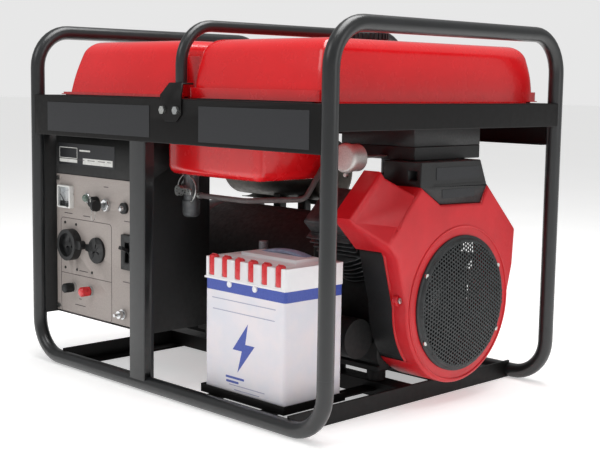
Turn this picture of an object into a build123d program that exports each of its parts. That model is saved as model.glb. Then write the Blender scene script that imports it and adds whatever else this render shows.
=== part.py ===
"""Open-frame V-twin petrol generating set: tubular frame, saddle tank, control box, battery,
engine and alternator.  Millimetres, +X towards the engine's fan, -Y towards the control panel, +Z up,
origin on the floor under the middle of the frame."""
from build123d import *
import os
from math import cos, radians, sin, sqrt

os.makedirs("parts", exist_ok=True)

# ---- frame -----------------------------------------------------------------------------------
FRAME_LENGTH = 780.0
FRAME_WIDTH = 583.0
FRAME_HEIGHT = 624.0
TUBE_D = 25.4
TUBE_WALL = 2.0
BEND_R = 66.0
WELD_Z = 100.0
WELD_GAP = 0.05
SHEET = 2.0
BAND_TOP = 496.0
SIDE_BAND_TALL = 72.0
END_BAND_TALL = 39.0
BAND_FLANGE = 26.0
CROSS_X = 302.6
ANGLE_LEG = 30.0
ANGLE_THICK = 4.0
FOOT_CLEAR = 0.0
MID_POST_X = -59.0
MID_POST_WIDE = 42.0
MID_POST_DEEP = 20.0

TUBE_R = TUBE_D / 2
POST_X = FRAME_LENGTH / 2 - TUBE_R
POST_Y = FRAME_WIDTH / 2 - TUBE_R
TOP_Z = FRAME_HEIGHT - TUBE_R
RAIL_Z = TUBE_R
BAND_INSET = 1.6
SIDE_FACE = FRAME_WIDTH / 2 - BAND_INSET
END_FACE = FRAME_LENGTH / 2 - BAND_INSET
SIDE_BAND_LOW = BAND_TOP - SIDE_BAND_TALL

# ---- lifting hoop ----------------------------------------------------------------------------
HOOP_X = 34.0
HOOP_D = 19.0
HOOP_BEND_R = 62.0
HOOP_INSET = 19.9
HOOP_Y = SIDE_FACE - HOOP_INSET
HOOP_TOP_GAP = 0.0
BRACKET_WIDE = 54.0
BRACKET_DROP = 36.0
BRACKET_THICK = 3.0
BRACKET_STEP = 11.0
BRACKET_RISE = 20.0
HOOP_BOLT_PITCH = 34.0
HOOP_BOLT_R = 4.0
HOOP_BOLT_HEAD_R = 7.0

# ---- tank ------------------------------------------------------------------------------------
TANK_TOP = 593.0
TANK_SIDE_GAP = 29.5
TANK_HALF = FRAME_WIDTH / 2 - TANK_SIDE_GAP
TANK_LEDGE = 8.0
TANK_LEFT = -312.0
TANK_RIGHT = 346.0
TANK_SHEET = 1.5
TANK_DRAFT_END = 30.0
TANK_DRAFT_SIDE = 16.0
TANK_FILLET = 26.0
GROOVE_WIDE = 34.0
GROOVE_DEEP = 16.0
SKIRT_TALL = 15.0
PAD_THICK = 2.0
PAN_DEEP = 26.0
PAN_INSET = 10.0
SUMP_LEFT = -56.0
SUMP_RIGHT = 178.0
SUMP_INSET = 30.0
SUMP_FRONT = SUMP_INSET - TANK_HALF
SUMP_BACK = -70.0
SUMP_LOW = 368.0
NECK_X = 190.0
NECK_R = 32.0
NECK_PROUD = 4.0
CAP_TALL = 12.0
CAP_GAP = 0.5

# ---- control box -----------------------------------------------------------------------------
BOX_SIDE_GAP = 1.1
BOX_LEFT = TUBE_R - POST_X + BOX_SIDE_GAP
BOX_BACK = -112.0
BOX_LOW = 88.0
BOX_SHEET = 1.5
PANEL_INSET = 39.9
PANEL_Y = PANEL_INSET - SIDE_FACE
PANEL_LOW = 92.0
PANEL_HIGH = 350.0
PANEL_EDGE = 2.0
HOLE_GAP = 0.3

METER_X, METER_Z, METER_SIZE = -327.0, 309.0, 42.0
LAMP_X, LAMP_Z, LAMP_R = -262.0, 311.0, 9.0
KNOB_X, KNOB_Z, KNOB_R = -232.0, 306.0, 10.5
SWITCH_X, SWITCH_Z, SWITCH_R = -201.0, 303.0, 12.0
BUTTON_X, BUTTON_Z, BUTTON_R = -146.0, 302.0, 7.0
BIG_SOCKET_X, BIG_SOCKET_Z, BIG_SOCKET_R = -309.0, 221.0, 29.0
FLAT_SOCKET_X, FLAT_SOCKET_Z, FLAT_SOCKET_R = -230.0, 218.0, 23.5
POST_BLACK_X, POST_RED_X, POST_Z, POST_NUT_R = -306.0, -252.0, 141.0, 9.0
BREAKER_X, BREAKER_Z, BREAKER_WIDE, BREAKER_TALL = -134.0, 225.0, 36.0, 62.0
EARTH_X, EARTH_Z = -150.0, 113.0
SHAFT_GAP = 0.05

# ---- battery ---------------------------------------------------------------------------------
BATTERY_LONG = 188.0
BATTERY_END_GAP = 8.6
BATTERY_INSET = 26.8
BATTERY_X = CROSS_X - ANGLE_LEG - BATTERY_END_GAP - BATTERY_LONG
BATTERY_FRONT = BATTERY_INSET - POST_Y
BATTERY_DEEP = 127.0
BATTERY_LOW = 21.0
CASE_TALL = 188.0
LID_TALL = 35.0
VENT_R = 8.0
VENT_SETBACK = 5.0
VENT_END = 16.0
TRAY_SHEET = 2.0
TRAY_LIP = 12.0
TRAY_GAP = 2.0

# ---- engine and alternator -------------------------------------------------------------------
ENGINE_Y = 70.0
ENGINE_Z = 167.0
CASE_X0, CASE_X1 = 118.0, 258.0
BACKPLATE_R = 126.0
CASE_WALL = 7.0
DECK = 95.0
BARREL_LONG = 58.0
BARREL_R = 46.0
FIN_R = 58.0
FIN_COUNT = 6
FIN_THICK = 2.5
HEAD_LONG = 46.0
HEAD_WIDE = 96.0
COVER_LONG = 30.0
LEFT_BANK_X, RIGHT_BANK_X = 203.0, 178.0
OIL_X = 134.0
SHAFT_R = 16.0
SHROUD_X0, SHROUD_X1 = 262.0, 346.0
SHROUD_WALL = 3.0
SHROUD_R = 134.0
RIM_X0 = 316.0
GUIDE_LOW, GUIDE_HIGH, GUIDE_IN = -90.0, 95.0, -40.0
GUIDE_THICK = 2.5
ARM_X = 300.0
ARM_START = 70.0
ARM_REACH = 262.0
ARM_KNEE, ARM_RIDGE = 248.0, 206.0
FAR_ARM_REACH = 205.0
ARM_HALF = 50.0
GRILLE_R = 113.0
GRILLE_PROUD = 16.0
FAN_R = 104.0
ALT_X0, ALT_X1 = -292.0, 118.0
ALT_R = 122.0
ALT_WALL = 6.0
STATOR_R0, ROTOR_R = 76.0, 75.0
CLEANER_X0, CLEANER_X1 = 150.0, 312.0
CLEANER_HALF = 86.0
CLEANER_LOW, CLEANER_HIGH = 403.0, 462.0
BEARER_OFFSET = 78.0
BEARER_WIDE = 36.0
MOUNT_TALL = 18.0
MOUNT_R = 16.0
CRADLE_X = -190.0
MUFFLER_R = 58.0
MUFFLER_Y = 186.0
MUFFLER_Z = 352.0
PUMP_X, PUMP_Y, PUMP_Z = 247.0, -104.0, 407.0
COCK_X = -18.0
COCK_INSET = 26.0
COCK_Y = SUMP_FRONT + COCK_INSET
HOSE_R = 4.5
HOSE_BORE = 2.5
HOSE_BEND = 18.0
HOSE_SIDE_GAP = 12.0

shapes = {}


def block(x0, x1, y0, y1, z0, z1):
    """A box given by its two corners."""
    middle = ((x0 + x1) / 2, (y0 + y1) / 2, (z0 + z1) / 2)
    return Pos(*middle) * Box(abs(x1 - x0), abs(y1 - y0), abs(z1 - z0))


def rod_x(radius, x0, x1, y, z):
    """A round bar along X."""
    return Pos((x0 + x1) / 2, y, z) * Rot(0, 90, 0) * Cylinder(radius, abs(x1 - x0))


def rod_y(radius, y0, y1, x, z):
    """A round bar along Y."""
    return Pos(x, (y0 + y1) / 2, z) * Rot(90, 0, 0) * Cylinder(radius, abs(y1 - y0))


def rod_z(radius, z0, z1, x, y):
    """A round bar along Z."""
    return Pos(x, y, (z0 + z1) / 2) * Cylinder(radius, abs(z1 - z0))


def pipe(points, bend, outer, inner=0.0):
    """A tube swept along straight runs joined by tangent arcs."""
    path = FilletPolyline(*points, radius=bend) if len(points) > 2 else Line(*points)
    section = Circle(outer) - Circle(inner) if inner else Circle(outer)
    return sweep(Plane(origin=path @ 0, z_dir=path % 0) * section, path=path)


def prism_x(points, x0, x1):
    """A polygon of (y, z) corners stretched along X."""
    outline = make_face(Polyline(*[(x0, y, z) for y, z in points], close=True))
    return extrude(outline, amount=x1 - x0, dir=(1, 0, 0))


def prism_y(points, y0, y1):
    """A polygon of (x, z) corners stretched along Y."""
    outline = make_face(Polyline(*[(x, y0, z) for x, z in points], close=True))
    return extrude(outline, amount=y1 - y0, dir=(0, 1, 0))


def mirrored_y(shape):
    """The same piece on the other side of the frame."""
    return mirror(shape, about=Plane.XZ)


def keep(name, *pieces):
    """Files finished pieces under a node's name, each as a solid of its own."""
    for piece in pieces:
        shapes.setdefault(name, []).extend(piece.solids())


# ---- frame -----------------------------------------------------------------------------------
def hoop_points(x):
    return [(x, -POST_Y, WELD_Z), (x, -POST_Y, TOP_Z), (x, POST_Y, TOP_Z), (x, POST_Y, WELD_Z)]


def rail_points(y):
    return [(-POST_X, y, WELD_Z), (-POST_X, y, RAIL_Z), (POST_X, y, RAIL_Z), (POST_X, y, WELD_Z)]


def frame_tubes():
    bore = TUBE_R - TUBE_WALL
    for side in (-1, 1):
        keep("end_hoops", pipe(hoop_points(side * POST_X), BEND_R, TUBE_R, bore))
        keep("bottom_rails", pipe(rail_points(side * POST_Y), BEND_R, TUBE_R, bore))


def tube_space():
    """The frame tubes as solid bars, to cope what is welded to them."""
    around = TUBE_R + WELD_GAP
    hoops = [pipe(hoop_points(x), BEND_R, around) for x in (-POST_X, POST_X)]
    return hoops + [pipe(rail_points(y), BEND_R, around) for y in (-POST_Y, POST_Y)]


def cope(shape, tubes):
    for tube in tubes:
        shape = shape - tube
    return max(shape.solids(), key=lambda solid: solid.volume)


def side_band(tubes):
    """The front band: a folded channel with its flanges inwards."""
    face = -SIDE_FACE
    web = block(-POST_X, POST_X, face, face + SHEET, SIDE_BAND_LOW, BAND_TOP)
    reach = POST_X - TUBE_R - 1
    top = block(-reach, reach, face, face + BAND_FLANGE, BAND_TOP - SHEET, BAND_TOP)
    low = block(-reach, reach, face, face + BAND_FLANGE, SIDE_BAND_LOW, SIDE_BAND_LOW + SHEET)
    holes = [rod_y(HOOP_BOLT_R + HOLE_GAP, face - 1, face + SHEET + 1, x, hoop_bolt_z())
             for x in hoop_bolt_xs()]
    return cope(web + top + low - holes, tubes)


def end_band(side, tubes):
    face = side * END_FACE
    inner = face - side * SHEET
    low = BAND_TOP - END_BAND_TALL
    web = block(inner, face, -POST_Y, POST_Y, low, BAND_TOP)
    reach = SIDE_FACE - BAND_FLANGE - 1
    top = block(face - side * BAND_FLANGE, face, -reach, reach, BAND_TOP - SHEET, BAND_TOP)
    return cope(web + top, tubes)


def frame_bands():
    tubes = tube_space()
    front = side_band(tubes)
    keep("side_bands", front, mirrored_y(front))
    keep("end_bands", end_band(-1, tubes), end_band(1, tubes))
    keep("base_members", cross_member(-1, tubes), cross_member(1, tubes))
    keep("mid_post", mid_post(tubes))


def cross_member(side, tubes):
    """An angle bar between the rails, its upright leg outwards."""
    outer = side * CROSS_X
    reach = POST_Y
    upright = block(outer - side * ANGLE_THICK, outer, -reach, reach, FOOT_CLEAR, ANGLE_LEG)
    floor = block(outer - side * ANGLE_LEG, outer, -reach, reach, FOOT_CLEAR, FOOT_CLEAR + ANGLE_THICK)
    return cope(upright + floor, tubes)


def mid_post(tubes):
    x0 = MID_POST_X - MID_POST_WIDE / 2
    x1 = MID_POST_X + MID_POST_WIDE / 2
    face = -SIDE_FACE
    shape = block(x0, x1, face, face + SHEET, RAIL_Z, SIDE_BAND_LOW)
    for x in (x0, x1 - SHEET):
        shape += block(x, x + SHEET, face, face + MID_POST_DEEP, RAIL_Z, SIDE_BAND_LOW)
    return cope(shape, tubes)


# ---- lifting hoop ----------------------------------------------------------------------------
def hoop_bolt_z():
    return BAND_TOP - BRACKET_DROP / 2


def hoop_bolt_xs():
    return [HOOP_X - HOOP_BOLT_PITCH / 2, HOOP_X + HOOP_BOLT_PITCH / 2]


def hoop_bracket():
    """Plate on the band's face, a slope over its top edge and a flat seat under the tube."""
    front = -SIDE_FACE - BRACKET_THICK
    back = -SIDE_FACE
    knee = BAND_TOP + 6
    seat_z = knee + BRACKET_RISE
    slope_y = front + BRACKET_STEP
    side = [(front, BAND_TOP - BRACKET_DROP), (back, BAND_TOP - BRACKET_DROP), (back, knee - 1),
            (slope_y + 2, seat_z - BRACKET_THICK), (-HOOP_Y + HOOP_D / 2 + 2, seat_z - BRACKET_THICK),
            (-HOOP_Y + HOOP_D / 2 + 2, seat_z), (slope_y, seat_z), (front, knee)]
    plate = prism_x(side, HOOP_X - BRACKET_WIDE / 2, HOOP_X + BRACKET_WIDE / 2)
    for side_sign in (-1, 1):
        edge = HOOP_X + side_sign * BRACKET_WIDE / 2
        low = BAND_TOP - BRACKET_DROP
        corner = [(edge, low), (edge, low + 12), (edge - side_sign * 12, low)]
        plate -= prism_y(corner, front - 1, back + 1)
        upper = [(edge, knee), (edge, seat_z + 1), (edge - side_sign * 11, seat_z + 1)]
        plate -= prism_y(upper, front - 1, -HOOP_Y + HOOP_D)
    for x in hoop_bolt_xs():
        plate -= rod_y(HOOP_BOLT_R + HOLE_GAP, front - 1, back + 1, x, hoop_bolt_z())
    return plate


def hoop_bolt(x):
    front = -SIDE_FACE - BRACKET_THICK
    head = Pos(x, front - 2.5, hoop_bolt_z()) * Rot(90, 0, 0)
    head = head * extrude(RegularPolygon(HOOP_BOLT_HEAD_R, 6), amount=2.5, both=True)
    shank = rod_y(HOOP_BOLT_R, front - 1, -SIDE_FACE + SHEET + 8, x, hoop_bolt_z())
    nut = Pos(x, -SIDE_FACE + SHEET + 3, hoop_bolt_z()) * Rot(90, 0, 0)
    nut = nut * extrude(RegularPolygon(HOOP_BOLT_HEAD_R, 6), amount=3, both=True)
    return head + shank + nut


def lifting_hoop():
    foot = BAND_TOP + 6 + BRACKET_RISE
    top = FRAME_HEIGHT - HOOP_TOP_GAP - HOOP_D / 2
    points = [(HOOP_X, -HOOP_Y, foot), (HOOP_X, -HOOP_Y, top), (HOOP_X, HOOP_Y, top), (HOOP_X, HOOP_Y, foot)]
    keep("lifting_hoop", pipe(points, HOOP_BEND_R, HOOP_D / 2, HOOP_D / 2 - TUBE_WALL))
    plate = hoop_bracket()
    keep("hoop_brackets", plate, mirrored_y(plate))
    for x in hoop_bolt_xs():
        keep("fasteners", hoop_bolt(x), mirrored_y(hoop_bolt(x)))


# ---- tank ------------------------------------------------------------------------------------
def seam_z():
    """Where the two pressed shells meet."""
    return BAND_TOP + PAD_THICK + TANK_SHEET


def dome(x0, x1, half, low, high, lean_x0, lean_x1, lean_y, fillet_r):
    """A pressed dome: a tapered block with its upper and upright edges rounded."""
    base = Pos((x0 + x1) / 2, 0, low) * Rectangle(x1 - x0, 2 * half)
    top = Pos((x0 + lean_x0 + x1 - lean_x1) / 2, 0, high)
    top = top * Rectangle(x1 - lean_x1 - x0 - lean_x0, 2 * (half - lean_y))
    body = loft([base, top], ruled=True)
    edges = [edge for edge in body.edges() if edge.center().Z > low + 1]
    return fillet(edges, fillet_r)


def saddle(inset):
    """The outer form of the upper shell, or its inside when inset is the sheet thickness."""
    low = seam_z()
    high = TANK_TOP - inset
    half = TANK_HALF - inset
    groove0 = HOOP_X - GROOVE_WIDE / 2
    groove1 = HOOP_X + GROOVE_WIDE / 2
    radius = TANK_FILLET - inset
    left = dome(TANK_LEFT + TANK_LEDGE + inset, groove0 - inset, half, low, high, TANK_DRAFT_END, 6,
                TANK_DRAFT_SIDE, radius)
    right = dome(groove1 + inset, TANK_RIGHT - inset, half, low, high, 6, 8, TANK_DRAFT_SIDE, radius)
    overlap = TANK_FILLET + 14
    neck = block(groove0 - overlap, groove1 + overlap, GROOVE_DEEP - half, half - GROOVE_DEEP,
                 low, high - TANK_FILLET)
    skirt = block(groove1 + inset, TANK_RIGHT - inset, -half - TANK_LEDGE, half + TANK_LEDGE,
                  low, low + SKIRT_TALL - inset)
    return left + right + neck + skirt


def tank():
    seam = seam_z()
    upper = saddle(0) - saddle(TANK_SHEET)
    rim = block(TANK_LEFT, HOOP_X - GROOVE_WIDE / 2, -TANK_HALF - TANK_LEDGE, TANK_HALF + TANK_LEDGE,
                seam, seam + TANK_SHEET)
    rim -= block(TANK_LEFT + TANK_LEDGE + TANK_SHEET, HOOP_X, -TANK_HALF + TANK_SHEET,
                 TANK_HALF - TANK_SHEET, seam - 1, seam + TANK_SHEET + 1)
    upper = upper + rim
    upper -= rod_z(NECK_R - 6, TANK_TOP - 12, TANK_TOP + 2, NECK_X, 0)
    keep("tank_upper_shell", max(upper.solids(), key=lambda solid: solid.volume))
    keep("tank_lower_shell", lower_shell(seam))
    keep("rubber_mounts", *tank_pads())
    tank_fittings()


def lower_shell(seam):
    low = seam - PAN_DEEP
    x0 = TANK_LEFT + TANK_LEDGE + PAN_INSET
    x1 = TANK_RIGHT - PAN_INSET
    half = TANK_HALF - PAN_INSET
    pan = block(x0, x1, -half, half, low, seam - TANK_SHEET)
    rim = block(TANK_LEFT, TANK_RIGHT, -TANK_HALF - TANK_LEDGE, TANK_HALF + TANK_LEDGE, seam - TANK_SHEET, seam)
    gap = [block(HOOP_X - GROOVE_WIDE / 2, HOOP_X + GROOVE_WIDE / 2, side * (TANK_HALF - GROOVE_DEEP),
                 side * (TANK_HALF + TANK_LEDGE + 1), seam - TANK_SHEET - 1, seam + 1) for side in (-1, 1)]
    sump = block(SUMP_LEFT, SUMP_RIGHT, SUMP_FRONT, SUMP_BACK, SUMP_LOW, low + 1)
    sump = fillet(sump.edges().filter_by(Axis.Z) + sump.faces().sort_by(Axis.Z)[0].edges(), 16)
    outer = pan + rim + sump
    for cutter in gap:
        outer -= cutter
    wall = TANK_SHEET
    hollow = block(x0 + wall, x1 - wall, -half + wall, half - wall, low + wall, seam + 1)
    well = block(SUMP_LEFT + wall, SUMP_RIGHT - wall, SUMP_FRONT + wall, SUMP_BACK - wall,
                 SUMP_LOW + wall, low + 2 * wall)
    well = fillet(well.edges().filter_by(Axis.Z) + well.faces().sort_by(Axis.Z)[0].edges(), 16 - wall)
    tap = rod_z(8, SUMP_LOW - 1, SUMP_LOW + wall + 1, COCK_X, COCK_Y)
    return outer - hollow - well - tap


def tank_pads():
    """Rubber strips between the side bands and the tank's rim."""
    strips = []
    for x0, x1 in ((TANK_LEFT + 14, HOOP_X - 40), (HOOP_X + 40, TANK_RIGHT - 14)):
        for side in (-1, 1):
            y0 = side * (SIDE_FACE - BAND_FLANGE + 1)
            y1 = side * (TANK_HALF + TANK_LEDGE)
            strips.append(block(x0, x1, y0, y1, BAND_TOP, BAND_TOP + PAD_THICK))
    return strips


def tank_fittings():
    neck = rod_z(NECK_R, TANK_TOP, TANK_TOP + NECK_PROUD, NECK_X, 0)
    neck += rod_z(NECK_R - 6, TANK_TOP - 20, TANK_TOP + NECK_PROUD, NECK_X, 0)
    neck -= rod_z(NECK_R - 8, TANK_TOP - 21, TANK_TOP + NECK_PROUD + 1, NECK_X, 0)
    keep("filler_neck", neck)
    seat = TANK_TOP + NECK_PROUD + CAP_GAP
    cap = fillet(rod_z(NECK_R + 5, seat, seat + CAP_TALL, NECK_X, 0).edges().group_by(Axis.Z)[-1], 3)
    for step in range(12):
        angle = radians(30 * step)
        x = NECK_X + (NECK_R + 6.5) * cos(angle)
        cap -= rod_z(3, seat - 1, seat + CAP_TALL + 1, x, (NECK_R + 6.5) * sin(angle))
    cap += rod_z(NECK_R - 8 - CAP_GAP, seat - 14, seat + 1, NECK_X, 0)
    keep("fuel_cap", cap)
    basket = rod_z(NECK_R - 9, TANK_TOP - 50, TANK_TOP - 14, NECK_X, 0)
    basket -= rod_z(NECK_R - 10, TANK_TOP - 48, TANK_TOP - 13, NECK_X, 0)
    keep("filler_neck", basket)


# ---- fuel line -------------------------------------------------------------------------------
def fuel_line():
    body = rod_z(13, SUMP_LOW - 44, SUMP_LOW, COCK_X, COCK_Y)
    body += rod_z(7.8, SUMP_LOW - 1, SUMP_LOW + 14, COCK_X, COCK_Y)
    body += rod_y(9, COCK_Y - 22, COCK_Y, COCK_X, SUMP_LOW - 26)
    body += rod_x(HOSE_BORE, COCK_X, COCK_X + 34, COCK_Y, SUMP_LOW - 34)
    keep("fuel_cock_body", body)
    bowl = rod_z(15, SUMP_LOW - 72, SUMP_LOW - 44, COCK_X, COCK_Y)
    keep("fuel_cock_body", fillet(bowl.edges().group_by(Axis.Z)[0], 8))
    lever_y = COCK_Y - 22.3
    lever = rod_y(9, lever_y - 7, lever_y, COCK_X, SUMP_LOW - 26)
    lever += block(COCK_X - 4, COCK_X + 34, lever_y - 7, lever_y - 3, SUMP_LOW - 31, SUMP_LOW - 21)
    keep("fuel_cock_lever", lever)
    hose_line()
    pump = rod_y(22, PUMP_Y, PUMP_Y + 24, PUMP_X, PUMP_Z)
    pump += rod_x(HOSE_BORE, PUMP_X - 34, PUMP_X, PUMP_Y + 12, PUMP_Z - 4)
    pump += block(PUMP_X - 8, PUMP_X + 8, PUMP_Y + 20, ENGINE_Y - CLEANER_HALF,
                  CLEANER_LOW + 3, CLEANER_LOW + 6)
    cover = rod_y(24, PUMP_Y - 9, PUMP_Y, PUMP_X, PUMP_Z)
    keep("fuel_pump", pump, fillet(cover.edges().group_by(Axis.Y)[0], 5))


def hose_line():
    """The petrol hose from the cock's spigot, round the sump and up to the pump's spigot."""
    low = SUMP_LOW - 34
    end_y, end_z = PUMP_Y + 12, PUMP_Z - 4
    riser_x = SUMP_RIGHT + HOSE_SIDE_GAP
    route = [(COCK_X + 15, COCK_Y, low), (SUMP_RIGHT - 58, COCK_Y, low), (riser_x, COCK_Y + 66, low + 4),
             (riser_x + 2, end_y, end_z), (PUMP_X - 23, end_y, end_z)]
    keep("fuel_hose", pipe(route, HOSE_BEND, HOSE_R, HOSE_BORE))
    for x, y, z in ((COCK_X + 24, COCK_Y, low), (PUMP_X - 29, end_y, end_z)):
        keep("fasteners", rod_x(HOSE_R + 1.2, x - 3, x + 3, y, z) - rod_x(HOSE_R, x - 4, x + 4, y, z))


# ---- control box -----------------------------------------------------------------------------
def box_right():
    return MID_POST_X - MID_POST_WIDE / 2 - 1


def control_box():
    right = box_right()
    top = SIDE_BAND_LOW - 1
    outer = block(BOX_LEFT, right, PANEL_Y + SHEET, BOX_BACK, BOX_LOW, top)
    s = BOX_SHEET
    inner = block(BOX_LEFT + s, right - s, PANEL_Y - 5, BOX_BACK - s, BOX_LOW + s, top - s)
    shell = outer - inner
    shell += block(BOX_LEFT, BOX_LEFT + s, -SIDE_FACE + 14, BOX_BACK, BOX_LOW, top)
    shell += block(BOX_LEFT, right, PANEL_Y, PANEL_Y + SHEET, PANEL_HIGH + 1, top)
    for step in range(6):
        z = PANEL_LOW + 40 + step * 14
        shell -= block(BOX_LEFT + 60, right - 60, BOX_BACK - 3, BOX_BACK + 1, z, z + 5)
    keep("control_box", shell)
    keep("panel_face", panel_face(right))
    for x, z in panel_corners():
        keep("fasteners", panel_screw(x, z))
    keep("name_plates", *name_plates())
    keep("control_internals", block(-300, -220, BOX_BACK - 40, BOX_BACK - 2, 250, 310))


def panel_corners():
    return [(x, z) for x in (BOX_LEFT + 9, box_right() - 9) for z in (PANEL_LOW + 8, PANEL_HIGH - 8)]


def panel_face(right):
    face = block(BOX_LEFT + BOX_SHEET, right, PANEL_Y, PANEL_Y + SHEET, PANEL_LOW, PANEL_HIGH)
    for x, z, radius in ((LAMP_X, LAMP_Z, LAMP_R - 2), (KNOB_X, KNOB_Z, 5), (SWITCH_X, SWITCH_Z, SWITCH_R - 2),
                         (BUTTON_X, BUTTON_Z, BUTTON_R), (BIG_SOCKET_X, BIG_SOCKET_Z, BIG_SOCKET_R - 5),
                         (FLAT_SOCKET_X, FLAT_SOCKET_Z, FLAT_SOCKET_R - 4), (POST_BLACK_X, POST_Z, 3.5),
                         (POST_RED_X, POST_Z, 3.5), (EARTH_X, EARTH_Z, 3.5)):
        face -= rod_y(radius + HOLE_GAP, PANEL_Y - 1, PANEL_Y + SHEET + 1, x, z)
    half = METER_SIZE / 2 - 4 + HOLE_GAP
    face -= block(METER_X - half, METER_X + half, PANEL_Y - 1, PANEL_Y + 9, METER_Z - half, METER_Z + half)
    wide = BREAKER_WIDE / 2 + HOLE_GAP
    tall = BREAKER_TALL / 2 + HOLE_GAP
    face -= block(BREAKER_X - wide, BREAKER_X + wide, PANEL_Y - 1, PANEL_Y + 9,
                  BREAKER_Z - tall, BREAKER_Z + tall)
    for x, z in panel_corners():
        face -= rod_y(2.5 + HOLE_GAP, PANEL_Y - 1, PANEL_Y + 9, x, z)
    return face


def panel_screw(x, z):
    head = rod_y(4.5, PANEL_Y - 2.5, PANEL_Y, x, z)
    return head + rod_y(2.5, PANEL_Y - 1, PANEL_Y + 9, x, z)


def name_plates():
    """Blank plates: two on the front band and one over the panel."""
    face = -SIDE_FACE
    middle = (SIDE_BAND_LOW + BAND_TOP) / 2 - 2
    return [block(-327, -24, face - 0.8, face, middle - 26, middle + 26),
            block(102, 348, face - 0.8, face, middle - 28, middle + 28),
            block(-352, -176, PANEL_Y - 0.8, PANEL_Y, 368, 408)]


def square_on_panel(half, y0, y1):
    return block(METER_X - half, METER_X + half, y0, y1, METER_Z - half, METER_Z + half)


def voltmeter():
    half = METER_SIZE / 2
    flange = square_on_panel(half, PANEL_Y - 9, PANEL_Y)
    body = square_on_panel(half - 4, PANEL_Y, PANEL_Y + 30)
    case = fillet(flange.edges().filter_by(Axis.Y), 3) + body
    case -= square_on_panel(half - 3, PANEL_Y - 7, PANEL_Y - 2)
    case -= rod_y(2.0 + SHAFT_GAP, PANEL_Y - 3, PANEL_Y + 10, METER_X, METER_Z - 12)
    keep("voltmeter_case", case)
    needle = rod_y(2.0, PANEL_Y - 5, PANEL_Y + 9.5, METER_X, METER_Z - 12)
    tip = Pos(METER_X, PANEL_Y - 4.5, METER_Z - 12) * Rot(0, -45, 0) * Pos(0, 0, 11) * Box(1.0, 0.8, 22)
    keep("voltmeter_needle", needle + tip)


def panel_controls():
    lamp = rod_y(LAMP_R, PANEL_Y - 10, PANEL_Y, LAMP_X, LAMP_Z)
    lamp += rod_y(LAMP_R - 2, PANEL_Y, PANEL_Y + 18, LAMP_X, LAMP_Z)
    keep("pilot_lamp", fillet(lamp.edges().group_by(Axis.Y)[0], 4))
    pot = rod_y(13, PANEL_Y + SHEET, PANEL_Y + 16, KNOB_X, KNOB_Z)
    pot += rod_y(5, PANEL_Y, PANEL_Y + 5, KNOB_X, KNOB_Z)
    keep("control_internals", pot - rod_y(3 + SHAFT_GAP, PANEL_Y - 1, PANEL_Y + 12, KNOB_X, KNOB_Z))
    knob = rod_y(KNOB_R, PANEL_Y - 15, PANEL_Y - 0.5, KNOB_X, KNOB_Z)
    knob = chamfer(knob.edges().group_by(Axis.Y)[0], 1.5)
    keep("voltage_knob", knob + rod_y(3, PANEL_Y - 1, PANEL_Y + 11, KNOB_X, KNOB_Z))
    barrel = rod_y(SWITCH_R, PANEL_Y - 7, PANEL_Y, SWITCH_X, SWITCH_Z)
    barrel += rod_y(SWITCH_R - 2, PANEL_Y, PANEL_Y + 34, SWITCH_X, SWITCH_Z)
    keep("key_switch", barrel - rod_y(5 + SHAFT_GAP, PANEL_Y - 8, PANEL_Y + 20, SWITCH_X, SWITCH_Z))
    key = rod_y(5, PANEL_Y - 8, PANEL_Y + 19, SWITCH_X, SWITCH_Z)
    key += block(SWITCH_X - 1.2, SWITCH_X + 1.2, PANEL_Y - 16, PANEL_Y - 8, SWITCH_Z - 4, SWITCH_Z + 4)
    key += block(SWITCH_X - 3, SWITCH_X + 3, PANEL_Y - 34, PANEL_Y - 15, SWITCH_Z - 10, SWITCH_Z + 10)
    keep("ignition_key", key)
    keep("reset_button", rod_y(BUTTON_R - 2, PANEL_Y - 12, PANEL_Y + 12, BUTTON_X, BUTTON_Z))
    holder = rod_y(BUTTON_R + 3, PANEL_Y - 6, PANEL_Y, BUTTON_X, BUTTON_Z)
    holder += rod_y(BUTTON_R, PANEL_Y, PANEL_Y + 26, BUTTON_X, BUTTON_Z)
    holder -= rod_y(BUTTON_R - 2 + SHAFT_GAP, PANEL_Y - 7, PANEL_Y + 17, BUTTON_X, BUTTON_Z)
    keep("control_internals", holder)
    breaker()
    sockets()
    terminals()


def breaker():
    half = BREAKER_WIDE / 2
    tall = BREAKER_TALL / 2
    case = block(BREAKER_X - half, BREAKER_X + half, PANEL_Y - 6, PANEL_Y + 50,
                 BREAKER_Z - tall, BREAKER_Z + tall)
    slot = block(BREAKER_X - 6, BREAKER_X + 6, PANEL_Y - 7, PANEL_Y + 12, BREAKER_Z - 18, BREAKER_Z + 18)
    pin = rod_x(2.5 + SHAFT_GAP, BREAKER_X - 10, BREAKER_X + 10, PANEL_Y + 4, BREAKER_Z)
    keep("breaker_case", case - slot - pin)
    lever = rod_x(2.5, BREAKER_X - 9.5, BREAKER_X + 9.5, PANEL_Y + 4, BREAKER_Z)
    lever += rod_x(5.5, BREAKER_X - 5, BREAKER_X + 5, PANEL_Y + 4, BREAKER_Z)
    arm = Pos(BREAKER_X, PANEL_Y + 4, BREAKER_Z) * Rot(-24, 0, 0) * Pos(0, -14, 0) * Box(10, 24, 6)
    keep("breaker_lever", lever + arm)


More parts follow.
